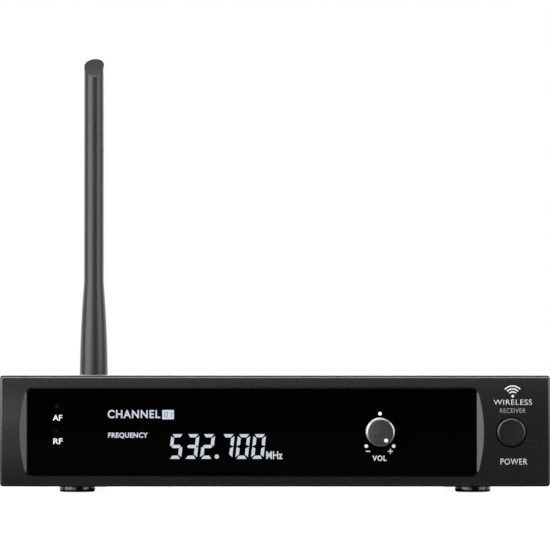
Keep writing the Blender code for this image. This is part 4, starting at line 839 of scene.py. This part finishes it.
# The words over the button: text, left, right, bottom, top, ink; each ink glows a little as painted light
NAME_WORDS = (
    ("WIRELESS", 0.0841, 0.0988, 0.0105, 0.0125, INK_SILVER_PAINTED_GLOW),
    ("RECEIVER", 0.0865, 0.0963, 0.0074, 0.0091, INK_GREY_PAINTED_GLOW),
)
NAME_WEIGHT = -0.01
POWER_EDGES = (0.0867, 0.097, -0.0125, -0.0102)
PANEL_SPACING = 1.1
WAVE_X = 0.09145
WAVE_RISE = 0.0138
WAVE_SIZE = 0.004


def panel_print():
    here = {"slot": "panel_black", "surface": face_y}
    lettering("label_power", "POWER", *POWER_EDGES, INK_SILVER_PAINTED_GLOW, 0.0, PANEL_SPACING, **here)
    mark = flat_shapes(wave_mark(WAVE_X, AXIS_Z + WAVE_RISE, WAVE_SIZE))
    printed("wave_mark", mark, INK_SILVER_PAINTED_GLOW, **here)
    for text, *edges, ink in NAME_WORDS:
        lettering(f"label_{text.lower()}", text, *edges, ink, NAME_WEIGHT, PANEL_SPACING, **here)


# ---------------------------------------------------------------- controls


KNOB_CAP = 0.0018
POINTER_TURN = math.radians(146)
POINTER_REACH = 0.00377
POINTER_DOT = 0.00075
BUTTON_RADIUS = 0.0054


def volume_knob():
    length = KNOB_HIGH.y - KNOB_LOW.y
    radius = (KNOB_HIGH.x - KNOB_LOW.x) / 2
    profile = [
        (0, length - 0.00005),
        (radius - 0.0006, length - 0.00005, 0.0002),
        (radius, length - 0.00052, 0.0002),
        (radius, length - 0.002),
        (radius - 0.0002, length - 0.0021),
        (radius - 0.0002, 0.0008),
        (radius, 0.0007),
        (radius, 0),
        (KNOB_BORE, 0),
        (KNOB_BORE, length - KNOB_CAP),
        (0, length - KNOB_CAP),
    ]
    place = (KNOB_X, KNOB_HIGH.y, AXIS_Z)
    mesh = lathe(rounded(profile), place, "front", steps=128)
    piece("knob_body", mesh, "knob", "volume_control", stands_for=("volume_knob",))
    x = KNOB_X + POINTER_REACH * math.sin(POINTER_TURN)
    z = AXIS_Z + POINTER_REACH * math.cos(POINTER_TURN)
    mark = flat_shapes([dot(x, z, POINTER_DOT)])
    face = KNOB_LOW.y + 1.2 * PRINT
    printed("pointer_dot", mark, INK_WHITE_PAINTED_GLOW, "knob", surface=lambda z: face, body="volume_control")


def power_button():
    length = BUTTON_HIGH.y - BUTTON_LOW.y
    radius = BUTTON_RADIUS
    rim = (BUTTON_HIGH.x - BUTTON_LOW.x) / 2
    flange, cap, socket, stem, skirt = 0.001, 0.002, 0.0023, 0.0032, 0.0043
    profile = [
        (0, length - 0.0002),
        (radius * 0.5, length - 0.00015, 0.01),
        (radius - 0.0006, length, 0.0001),
        (radius, length - 0.00045, 0.0001),
        (radius, flange),
        (rim, flange, 0.0001),
        (rim, 0),
        (skirt, 0),
        (skirt, length - cap),
        (stem, length - cap),
        (stem, 0),
        (socket, 0),
        (socket, length - cap),
        (0, length - cap),
    ]
    mesh = lathe(rounded(profile), (BUTTON_X, BUTTON_HIGH.y, AXIS_Z), "front", steps=128)
    piece("button_cap", mesh, "button_black", "power_control", stands_for=("power_button",))


# ---------------------------------------------------------------- feet


def feet():
    for side in ("left", "right"):
        for end in ("front", "rear"):
            node = f"foot_{end}_{side}"
            low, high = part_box(node)
            radius = (high.x - low.x) / 2
            top = high.z - low.z
            recess, floor, hole = 0.0031, 0.0017, 0.0018
            profile = [
                (hole, top),
                (radius - 0.00005, top, 0.0002),
                (radius, 0, 0.0008),
                (recess, 0, 0.0003),
                (recess, floor),
                (hole, floor),
            ]
            place = ((low.x + high.x) / 2, (low.y + high.y) / 2, low.z)
            mesh = lathe(rounded(profile), place, "up", ring=True)
            piece(f"{node}_moulding", mesh, "foot_rubber", stands_for=(node,))


# ---------------------------------------------------------------- antenna

FLARE_START = 0.0213
FLARE_END = 0.0618
FLARE_POWER = 1.8
WHIP_RADIUS = 0.00425
TONGUE_RADIUS = 0.0045
TONGUE_HALF = 0.00285
PIN_HOLE = 0.00135
# The tip's sloping face from back to front, as a curve's three guide points: out from the axis and
# down from the tip, in whip radii
TIP_GUIDES = ((1, 0), (-0.86, 1.3), (-0.94, 1.95))
TIP_STEPS = 20
TIP_TURN = math.radians(-5)


def tip_curve(share):
    """A point part of the way along the tip's sloping face."""
    weights = ((1 - share) ** 2, 2 * share * (1 - share), share**2)
    return tuple(sum(w * p[i] for w, p in zip(weights, TIP_GUIDES)) for i in (0, 1))


def whip():
    base_radius = (WHIP_HIGH.x - WHIP_LOW.x) / 2
    pivot = Vector((ANTENNA_X, PIVOT_Y, AXIS_Z))
    length = WHIP_HIGH.z - AXIS_Z
    base = ELBOW_HIGH.z - AXIS_Z + 2 * GAP
    steps = 28
    profile = [(0, length), (WHIP_RADIUS, length)]
    for i in range(steps, -1, -1):
        share = i / steps
        radius = WHIP_RADIUS + (base_radius - WHIP_RADIUS) * (1 - share**FLARE_POWER)
        profile.append((radius, FLARE_START + (FLARE_END - FLARE_START) * share))
    profile += [(base_radius, base, 0.0005), (0, base)]
    rod_mesh = lathe(rounded(profile), pivot, "up", steps=96)
    top = base + GAP
    outline = [(-TONGUE_RADIUS, top), *arc(0, 0, TONGUE_RADIUS, 180, 360, 32), (TONGUE_RADIUS, top)]
    tongue = plate([outline], 2 * TONGUE_HALF, pivot + Vector((TONGUE_HALF, 0, 0)), "right")
    hole = rod(PIN_HOLE, 0.02, pivot + Vector((-0.01, 0, 0)), "right")
    spare = 2 * WHIP_RADIUS
    slopes = [tip_curve(i / TIP_STEPS) for i in range(TIP_STEPS + 1)]
    tip = [(out * WHIP_RADIUS, length - down * WHIP_RADIUS) for out, down in slopes]
    tip += [(-spare, tip[-1][1]), (-spare, length + spare), (WHIP_RADIUS, length + spare)]
    turn = Matrix.Rotation(TIP_TURN, 4, "Z")
    slope = plate([tip], 4 * WHIP_RADIUS, (2 * WHIP_RADIUS, 0, 0), "right")
    slope.transform(Matrix.Translation(pivot) @ turn)
    mesh = solid(rod_mesh, cutters=(slope, hole), joined=(tongue,), edge=0.00025, edge_angle=50)
    piece("whip_moulding", smoothed(mesh, 14), "antenna_rubber", "antenna", stands_for=("antenna_whip",))


# ---------------------------------------------------------------- sheet metal

SHEET = 0.001
COVER_BEND = 0.0015
VENT_SLOTS = 9
VENT_PITCH = 0.007
VENT_WIDTH = 0.0025
VENT_HEIGHT = 0.013
SCREW_HOLE = 0.0018
SINK_RADIUS = 0.00345


def top_cover():
    """The top and sides, bent from one sheet, with round-ended vent slots and countersinks."""
    low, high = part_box("top_cover")
    half, base, top = high.x, low.z, high.z
    inner, inner_bend = half - SHEET, COVER_BEND - SHEET
    outline = [
        (-half, base),
        *arc(-half + COVER_BEND, top - COVER_BEND, COVER_BEND, 180, 90, 12),
        *arc(half - COVER_BEND, top - COVER_BEND, COVER_BEND, 90, 0, 12),
        (half, base),
        (inner, base),
        *arc(half - COVER_BEND, top - COVER_BEND, inner_bend, 0, 90, 8),
        *arc(-half + COVER_BEND, top - COVER_BEND, inner_bend, 90, 180, 8),
        (-inner, base),
    ]
    length = high.y - low.y
    body = plate([outline], length, (0, low.y, 0), bevel=0.00012)
    round_end = VENT_WIDTH / 2
    rise = VENT_HEIGHT / 2 - round_end
    capsule = arc(0, rise, round_end, 0, 180, 12) + arc(0, -rise, round_end, 180, 360, 12)
    middle = AXIS_Z + VENT_HEIGHT / 4
    start = (low.y + high.y - (VENT_SLOTS - 1) * VENT_PITCH) / 2
    deep = -3 * SHEET
    sink = [(0, GAP), (SINK_RADIUS, GAP), (SCREW_HOLE, -SHEET), (SCREW_HOLE, deep), (0, deep)]
    cutters = []
    for side, sign in (("left", -1), ("right", 1)):
        for i in range(VENT_SLOTS):
            place = ((half + SHEET) * sign, start + i * VENT_PITCH, middle)
            cutters.append(plate([capsule], 4 * SHEET, place, side))
        for end in ("front", "rear"):
            place = middle_of(f"cover_screw_{end}_{side}")
            place.x = half * sign
            cutters.append(lathe(sink, place, side, steps=48))
    mesh = solid(body, cutters=cutters, edge=0.00012)
    piece("cover_sheet", weighted(mesh), "case_black", stands_for=("top_cover",))


# ---------------------------------------------------------------- screws

SCREW_HEAD = 0.0028
SCREW_SHANK = 0.0015
PAN_HEIGHT = 0.0011


def cross_recess(width, depth, place, axis):
    """A cutter for a cross-head recess, its arms drawn in towards the floor."""
    arm = width * 0.16
    outline = []
    for turn in range(4):
        a = math.radians(90 * turn)
        for u, v in ((width / 2, -arm), (width / 2, arm), (arm, arm)):
            outline.append((u * math.cos(a) - v * math.sin(a), u * math.sin(a) + v * math.cos(a)))
    mesh = plate([outline], 2 * depth, (0, 0, depth), "up")
    for vertex in mesh.vertices:
        if vertex.co.z < 0:
            vertex.co.x *= 0.55
            vertex.co.y *= 0.55
    mesh.transform(Matrix.Translation(place) @ towards(axis))
    return mesh


def threaded(radius, length, pitch=0.0005):
    """The side of a screw's shank from its head down: rings that read as a thread."""
    rings = int(length / pitch)
    points = []
    for i in range(rings):
        points += [(radius, -i * pitch), (radius - 0.0002, -(i + 0.5) * pitch)]
    return points


def screw(node, axis, slot, head_height, countersunk=False):
    """A pan or countersunk screw, cross-headed, on its node's place."""
    low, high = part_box(node)
    middle = (low + high) / 2
    head, shank = SCREW_HEAD, SCREW_SHANK
    facing = AXES[axis]
    outer = Vector(high[i] if facing[i] > 0 else low[i] for i in range(3))
    place = Vector(outer[i] if abs(facing[i]) > 0.5 else middle[i] for i in range(3))
    long = max(high[i] - low[i] for i in range(3))
    if countersunk:
        profile = [(0, 0), (head - 0.00008, 0), (head - 0.00004, -0.00012), (shank, -SHEET)]
        under = SHEET
    else:
        profile = [
            (0, 0),
            (head * 0.45, -0.00004, 0.002),
            (head * 0.86, -head_height * 0.3, 0.0008),
            (head, -head_height * 0.75, 0.0002),
            (head, -head_height),
            (shank, -head_height),
        ]
        under = head_height
    shank_points = [(r, h - under - 0.0001) for r, h in threaded(shank, long - under - 0.0006)]
    profile = rounded(profile) + shank_points + [(shank * 0.6, -long), (0, -long)]
    body = lathe(profile, place, axis, steps=48)
    recess = cross_recess(head * 1.15, head_height * 0.62, place, axis)
    mesh = solid(body, cutters=(recess,))
    piece(f"{node}_head", smoothed(mesh), slot, stands_for=(node,))


def screws():
    for side in ("left", "right"):
        for end in ("front", "rear"):
            screw(f"cover_screw_{end}_{side}", side, "screw_black", SHEET, countersunk=True)
            screw(f"foot_screw_{end}_{side}", "down", "foot_screw", PAN_HEIGHT)
        screw(f"panel_screw_{side}", "down", "screw_black", SHEET, countersunk=True)
    for place in ("upper", "lower"):
        screw(f"xlr_screw_{place}", "back", "screw_black", PAN_HEIGHT)


# ---------------------------------------------------------------- rear connectors


JACK_THREAD = 0.00475
PHONE_THREAD = 0.0048
SOCKET_BARREL = 0.0113
SOCKET_BORE = 0.0083
SOCKET_CORNER = 0.003
PIN_ANGLES = (30, 150, 270)
PIN_RING = 0.0042
PIN_RADIUS = 0.0012


def nut(node, bolt):
    """A hexagon nut with its corners turned off at the outer end."""
    low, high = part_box(node)
    centre = (low + high) / 2
    thickness = high.y - low.y
    radius = (high.x - low.x) / 2
    place = Vector((centre.x, high.y, centre.z))
    body = plate([dot(0, 0, radius, 6), dot(0, 0, bolt + GAP, 48)], thickness, place, "back")
    flats = radius * math.cos(math.pi / 6)
    rim = 1.3 * radius
    turned = [(flats, -0.0001), (flats, 0.0002), (rim, 0.0002), (rim, -(rim - flats) * 0.577)]
    corners = lathe(turned, place, "back", ring=True)
    mesh = solid(body, cutters=(corners,), edge=0.0001)
    piece(f"{node}_hex", weighted(mesh), "nickel", stands_for=(node,))


def output_socket():
    """A panel socket: a flange with rounded corners and a barrel."""
    low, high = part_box("xlr_socket")
    x = (low.x + high.x) / 2
    thickness = high.y - REAR_Y - GAP
    outline = box_outline(high.x - low.x, high.z - low.z, SOCKET_CORNER)
    flange = plate([outline], thickness, (x, high.y, AXIS_Z), "back", 0.0003)
    barrel = rod(SOCKET_BARREL, high.y - low.y - thickness / 2, (x, low.y, AXIS_Z), "back", 96)
    bore, mouth = SOCKET_BORE, 0.0007
    length = high.y - low.y
    cutter = lathe(
        [
            (0, -0.001),
            (bore, -0.001),
            (bore, length - mouth),
            (bore + mouth, length),
            (bore + mouth, length + 0.001),
            (0, length + 0.001),
        ],
        (x, low.y, AXIS_Z),
        "back",
    )
    holes = []
    for place in ("upper", "lower"):
        centre = middle_of(f"xlr_screw_{place}")
        holes.append(rod(SCREW_HOLE, 0.01, (centre.x, REAR_Y, centre.z), "back", 48))
    mesh = solid(flange, cutters=(cutter, *holes), joined=(barrel,))
    piece("output_socket_shell", weighted(mesh), "pot_metal", stands_for=("xlr_socket",))


def output_insert():
    """The socket's insulator with its three round-nosed pins."""
    low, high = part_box("xlr_insert")
    x = (low.x + high.x) / 2
    radius, thickness = 0.008, 0.004
    disc = lathe(stub(radius, thickness, 0.0004), (x, low.y, AXIS_Z), "back")
    reach = high.y - low.y
    root = thickness / 2
    profile = rounded([(0, reach), (PIN_RADIUS, reach, 0.0009), (PIN_RADIUS, root), (0, root)])
    pins = []
    for angle in PIN_ANGLES:
        a = math.radians(angle)
        place = (x + PIN_RING * math.cos(a), low.y, AXIS_Z + PIN_RING * math.sin(a))
        pins.append(lathe(profile, place, "back", steps=40))
    mesh = smoothed(solid(disc, joined=pins))
    piece("output_insulator", mesh, "inner_black", stands_for=("xlr_insert",))


def stub(radius, length, edge):
    """The profile of a short rod with a rounded end."""
    return rounded([(0, length), (radius, length, edge), (radius, 0), (0, 0)])


def socket_bore(bore, lead, depth, place):
    """A cutter for a socket's bore, with a chamfer at its mouth."""
    mouth = bore + lead
    profile = [(0, -PAST), (mouth, -PAST), (mouth, 0), (bore, lead), (bore, depth), (0, depth)]
    return lathe(profile, place, "front", steps=72)


def phone_jack():
    """A jack whose bushing is threaded for its nut."""
    low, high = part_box("phone_jack")
    x = (low.x + high.x) / 2
    bush = PHONE_THREAD
    body_back = REAR_Y - SHEET - GAP
    body = solid(block(low, (high.x, body_back, high.z)), edge=0.0006)
    start = body_back - 0.001
    length = high.y - start
    rings = []
    pitch = 0.00075
    count = int((length - 0.002) / pitch)
    for i in range(count):
        rings += [(bush, length - 0.0004 - i * pitch), (bush - 0.00022, length - 0.0004 - (i + 0.5) * pitch)]
    profile = [(0, length), (bush - 0.0004, length), *rings, (bush, 0.0008), (bush, 0), (0, 0)]
    bushing = lathe(profile, (x, start, AXIS_Z), "back", steps=72)
    hollow = socket_bore(0.0033, 0.0006, high.y - low.y - 0.001, (x, high.y, AXIS_Z))
    mesh = solid(body, cutters=(hollow,), joined=(bushing,))
    piece("phone_jack_moulding", smoothed(mesh), "inner_black", stands_for=("phone_jack",))


def dc_inlet():
    """The power socket with its centre pin."""
    low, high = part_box("dc_inlet")
    x, z = (low.x + high.x) / 2, (low.z + high.z) / 2
    nose, pin = 0.0042, 0.001
    body_back = REAR_Y - SHEET - GAP
    body = solid(block(low, (high.x, body_back, high.z)), edge=0.0005)
    start = body_back - 0.001
    length = high.y - start
    collar = lathe(stub(nose, length, 0.0004), (x, start, z), "back")
    hollow = socket_bore(0.0031, 0.0005, high.y - low.y - 0.002, (x, high.y, z))
    core = lathe(stub(pin, body_back - low.y - 0.001, 0.0006), (x, low.y + 0.001, z), "back", steps=40)
    shell = solid(body, cutters=(hollow,), joined=(collar,))
    mesh = smoothed(solid(shell, joined=(core,)))
    piece("power_inlet_moulding", mesh, "inner_black", stands_for=("dc_inlet",))


# ---------------------------------------------------------------- antenna plug

KNURL_FLUTES = 40
KNURL_DEPTH = 0.00022


def coupling_sleeve():
    """The bayonet sleeve, its grip straight-knurled between two turned bands."""
    low, high = SLEEVE_LOW, SLEEVE_HIGH
    radius = (high.x - low.x) / 2
    length = high.y - low.y
    waist, inner, hole, lip = radius - 0.0004, 0.00595, 0.00465, 0.01095
    grip_low, grip_high = 0.0056, length - 0.0012
    profile = [
        (hole, length, 0.0002),
        (waist, length, 0.0003),
        (radius, length - 0.0006, 0.0003),
        (radius, grip_high),
        (radius, grip_high - 0.0004),
        (radius, grip_low + 0.0004),
        (radius, grip_low),
        (radius, 0.005, 0.0002),
        (waist, 0.005),
        (waist, 0.0024, 0.0001),
        (waist - 0.0004, 0.0022),
        (waist - 0.0004, 0.0018),
        (waist, 0.0016, 0.0001),
        (waist, 0, 0.0003),
        (inner, 0, 0.0002),
        (inner, lip),
        (hole, lip),
    ]
    per_flute = 6
    mesh = lathe(rounded(profile), (0, 0, 0), "up", ring=True, steps=KNURL_FLUTES * per_flute)
    for vertex in mesh.vertices:
        x, y, z = vertex.co
        away = math.hypot(x, y)
        if away > radius - 0.0001 and grip_low < z < grip_high:
            wave = 0.5 - 0.5 * math.cos(math.atan2(y, x) * KNURL_FLUTES)
            scale = (away - KNURL_DEPTH * wave) / away
            vertex.co.x *= scale
            vertex.co.y *= scale
    mesh.transform(Matrix.Translation((ANTENNA_X, low.y, AXIS_Z)) @ towards("back"))
    piece("sleeve_grip", smoothed(mesh, 30), "nickel", "antenna_collar", stands_for=("coupling_sleeve",))


def antenna_jack():
    """The bulkhead jack with its lugs, thread and centre post."""
    low, high = JACK_LOW, JACK_HIGH
    radius, bore, flange, post, tail = JACK_THREAD, 0.0034, 0.007, 0.0014, 0.0014
    reach = high.y - REAR_Y
    flange_back = -SHEET - GAP
    flange_front = flange_back - 0.0022
    body_front = flange_front - 0.003
    thread = []
    pitch = 0.0006
    for i in range(4):
        thread += [(radius, 0.0028 - i * pitch), (radius - 0.0002, 0.0025 - i * pitch)]
    profile = [
        (0, reach - 0.002),
        (post, reach - 0.002, 0.0005),
        (post, reach - 0.008),
        (bore, reach - 0.008),
        (bore, reach, 0.0002),
        (radius, reach, 0.0003),
        *thread,
        (radius, flange_back),
        (flange, flange_back, 0.0003),
        (flange, flange_front, 0.0003),
        (radius, flange_front),
        (radius, body_front, 0.0003),
        (tail, body_front),
        (tail, low.y - REAR_Y),
        (0, low.y - REAR_Y),
    ]
    body = lathe(rounded(profile), (ANTENNA_X, REAR_Y, AXIS_Z), "back")
    wall = (bore + radius) / 2
    lug_length = 0.00565 - wall
    lugs = []
    for side, sign in (("left", -1), ("right", 1)):
        place = (ANTENNA_X + sign * wall, high.y - 0.004, AXIS_Z)
        lugs.append(lathe(stub(0.001, lug_length, 0.0003), place, side, steps=32))
    piece("jack_body", smoothed(solid(body, joined=lugs)), "nickel", stands_for=("antenna_jack",))


def antenna_elbow():
    """The plug's nose and neck, and the rounded fork that holds the whip's tongue."""
    low, high = ELBOW_LOW, ELBOW_HIGH
    radius = (high.z - low.z) / 2
    front = SLEEVE_HIGH.y + GAP
    shoulder_front = JACK_HIGH.y + GAP
    neck, shoulder, nose, wall = 0.00435, 0.00565, 0.0031, 0.0009
    slot_front = PIVOT_Y - TONGUE_RADIUS - GAP

    def at(out, depth, *edge):
        return (out, depth - low.y, *edge)

    profile = [
        at(0, slot_front),
        at(radius, slot_front),
        at(radius, front, 0.0005),
        at(neck, front),
        at(neck, shoulder_front + 0.0015),
        at(shoulder, shoulder_front + 0.0015, 0.0002),
        at(shoulder, shoulder_front, 0.0002),
        at(nose, shoulder_front),
        at(nose, low.y, 0.0002),
        at(nose - wall, low.y),
        at(nose - wall, shoulder_front),
        at(0, shoulder_front),
    ]
    body = lathe(rounded(profile), (ANTENNA_X, low.y, AXIS_Z), "back")
    root = front + GAP - PIVOT_Y
    outline = [(root, -radius), *arc(0, 0, radius, -90, 90, 36), (root, radius)]
    fork = plate([outline], 2 * radius, (ANTENNA_X + radius, PIVOT_Y, AXIS_Z), "right")
    half = TONGUE_HALF + GAP
    slot = block(
        (ANTENNA_X - half, slot_front, AXIS_Z - 0.02), (ANTENNA_X + half, high.y + 0.01, AXIS_Z + 0.02)
    )
    rim = 1.15 * radius
    reach = high.y - front
    keep = [(rim, -0.002), (rim, reach, 0.003), (0, reach), (0, 0.03), (0.02, 0.03), (0.02, -0.002)]
    outside = lathe(rounded(keep), (ANTENNA_X, front, AXIS_Z), "back", ring=True)
    pin = rod(PIN_HOLE, 0.03, (ANTENNA_X - 0.015, PIVOT_Y, AXIS_Z), "right", 48)
    fork = solid(fork, cutters=(outside,))
    mesh = weighted(solid(body, cutters=(slot, pin), joined=(fork,), edge=0.0002), 40)
    piece("elbow_moulding", mesh, "antenna_rubber", "antenna_elbow", stands_for=("antenna_base",))


def hinge_pin():
    """A plain pin with slightly domed ends."""
    low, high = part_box("hinge_pin")
    radius = (high.z - low.z) / 2
    length = high.x - low.x
    profile = [(0, length), (radius, length - 0.0001, 0.0002), (radius, 0.0001, 0.0002), (0, 0)]
    mesh = lathe(rounded(profile), (low.x, PIVOT_Y, AXIS_Z), "right", steps=48)
    piece("elbow_pin", mesh, "shaft", "antenna_elbow", stands_for=("hinge_pin",))


# ---------------------------------------------------------------- return spring

SPRING_WIRE = 0.0003
SPRING_TURNS = 5
SPRING_STEPS = 28


def switch_spring():
    """The coil behind the plunger's collar, made at its rest length; it moves with the power control and does
    not shorten.
    """
    low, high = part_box("power_switch_spring")
    x, z = (low.x + high.x) / 2, (low.z + high.z) / 2
    radius = (high.x - low.x) / 2 - SPRING_WIRE
    count = SPRING_TURNS * SPRING_STEPS
    rise = (high.y - low.y - 2 * SPRING_WIRE) / count
    curve = bpy.data.curves.new("spring", "CURVE")
    curve.dimensions = "3D"
    curve.bevel_depth = SPRING_WIRE
    curve.bevel_resolution = 3
    curve.use_fill_caps = True
    line = curve.splines.new("POLY")
    line.points.add(count)
    for i, point in enumerate(line.points):
        angle = math.tau * i / SPRING_STEPS
        place = (x + radius * math.cos(angle), low.y + SPRING_WIRE + rise * i, z + radius * math.sin(angle))
        point.co = (*place, 1)
    coil = piece(
        "spring_coil",
        smoothed(rest_mesh(scratch(curve))),
        "spring_steel",
        "power_control",
        stands_for=("power_switch_spring",),
    )
    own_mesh(coil)


# ---------------------------------------------------------------- all the other nodes

CARRIED = {
    "case_black": ("chassis_tray",),
    "screw_steel": ("board_screw", "display_screw"),
    "circuit_board": ("display_board", "main_board"),
    "inner_black": ("lcd_frame", "audio_processor", "voltage_regulator", "power_switch_body"),
    "display_glass": ("lcd_glass",),
    "diffuser": ("backlight_panel",),
    "lens_green": ("led_af",),
    "lens_red": ("led_rf",),
    "shaft": ("volume_shaft",),
    "pot_metal": ("volume_pot",),
    "white_plastic": ("switch_plunger",),
    "shield": ("rf_shield_can",),
    "can_blue": ("filter_capacitor",),
    "cable_black": ("antenna_pigtail",),
    "cable_grey": ("audio_lead", "ribbon_cable"),
}


NAMED = {name for names in CARRIED.values() for name in names}


def carry_nodes():
    """Gives the CAD's own nodes their finishes, by whole name or by the start of a numbered one."""
    for slot, starts in CARRIED.items():
        for name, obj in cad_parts.items():
            numbered = name not in NAMED and any(name.startswith(start + "_") for start in starts)
            if name in starts or numbered:
                for place in obj.material_slots:
                    place.material = FINISH[slot]


# ---------------------------------------------------------------- studio


def area_light(name, place, aim, width, height, power):
    data = bpy.data.lights.new(name, "AREA")
    data.shape = "RECTANGLE"
    data.size = width
    data.size_y = height
    data.energy = power
    light = bpy.data.objects.new(name, data)
    light.location = place
    light.rotation_euler = (Vector(aim) - Vector(place)).to_track_quat("-Z", "Y").to_euler()
    light.visible_camera = False
    bpy.context.scene.collection.objects.link(light)


# Softboxes: name, place, aim, width, height, power
SOFTBOXES = (
    ("left_softbox", (-1.03, -0.7, 0.4), (0, 0, 0.08), 1.2, 1.3, 24),
    ("right_softbox", (1.13, -0.6, 0.4), (0, 0, 0.08), 1.1, 1.2, 13.5),
    ("front_fill", (-0.6, -1.55, 0.3), (0, 0, 0.05), 0.8, 0.5, 3.2),
    ("overhead", (0, -0.85, 1.15), (0, 0, 0.03), 1.6, 0.35, 30),
    ("rear_softbox", (0.3, 1.5, 0.8), (0, 0, 0.05), 1.6, 1.0, 40),
)


def studio():
    """White behind the object as seen; as a light, brighter behind it and darker overhead."""
    world = bpy.data.worlds.new("studio")
    scene = bpy.context.scene
    scene.world = world
    scene.view_settings.view_transform = "Standard"
    world.use_nodes = True
    look = Tree(world.node_tree, "Generated")
    way = look.split(look.place)
    behind = look.remap(way["Y"], 0.02, 1.7, 0.0, 0.5)
    low = look.remap(way["Z"], 1.0, 0.12, 0.3, 0.6)
    seen = look.add("ShaderNodeLightPath").outputs["Is Camera Ray"]
    inputs = {"Factor": seen, "A": look.math("MULTIPLY", behind, low), "B": 1.0}
    background = look.tree.nodes["Background"].inputs
    background["Color"].default_value = (1, 1, 1, 1)
    look.tree.links.new(look.add("ShaderNodeMix", inputs).outputs["Result"], background["Strength"])
    for softbox in SOFTBOXES:
        area_light(*softbox)


def floor():
    bm = bmesh.new()
    bmesh.ops.create_circle(bm, cap_ends=True, segments=96, radius=6)
    mesh = bpy.data.meshes.new("floor")
    bm.to_mesh(mesh)
    bm.free()
    obj = bpy.data.objects.new("floor", mesh)
    obj.location.z = -0.0001
    bpy.context.scene.collection.objects.link(obj)
    look = Look("pale_floor", Roughness=0.1, Specular_IOR_Level=0.5)
    tone = look.remap(look.noise(3), 0, 1)
    seen = look.add("ShaderNodeLightPath").outputs["Is Camera Ray"]
    pale = look.math("MULTIPLY", seen, tone)
    look.feed("Base Color", look.mix(pale, (0.1, 0.1, 0.1), (0.82, 0.82, 0.82)))
    look.shader.inputs["Emission Color"].default_value = (1, 1, 1, 1)
    look.feed("Emission Strength", look.math("MULTIPLY", seen, 0.95))
    mesh.materials.append(look.material)


CAMERA_DISTANCE = 1.5
CAMERA_HEIGHT = 0.047
CAMERA_AIM = 0.0841
CAMERA_LENS = 255.3


def camera():
    data = bpy.data.cameras.new("camera")
    data.lens = CAMERA_LENS
    data.sensor_width = 36
    data.clip_start = 0.01
    obj = bpy.data.objects.new("camera", data)
    place = Vector((0, FACE_Y - CAMERA_DISTANCE, CAMERA_HEIGHT))
    obj.location = place
    aim = Vector((0, FACE_Y, CAMERA_AIM))
    obj.rotation_euler = (aim - place).to_track_quat("-Z", "Y").to_euler()
    bpy.context.scene.collection.objects.link(obj)
    bpy.context.scene.camera = obj


def main():
    carry_nodes()
    front_panel()
    display_window()
    window_print()
    frequency()
    channel_box()
    panel_print()
    volume_knob()
    power_button()
    feet()
    whip()
    top_cover()
    screws()
    nut("antenna_jack_nut", JACK_THREAD)
    nut("phone_jack_nut", PHONE_THREAD)
    output_socket()
    output_insert()
    phone_jack()
    dc_inlet()
    antenna_jack()
    coupling_sleeve()
    antenna_elbow()
    hinge_pin()
    switch_spring()
    studio()
    floor()
    camera()


main()
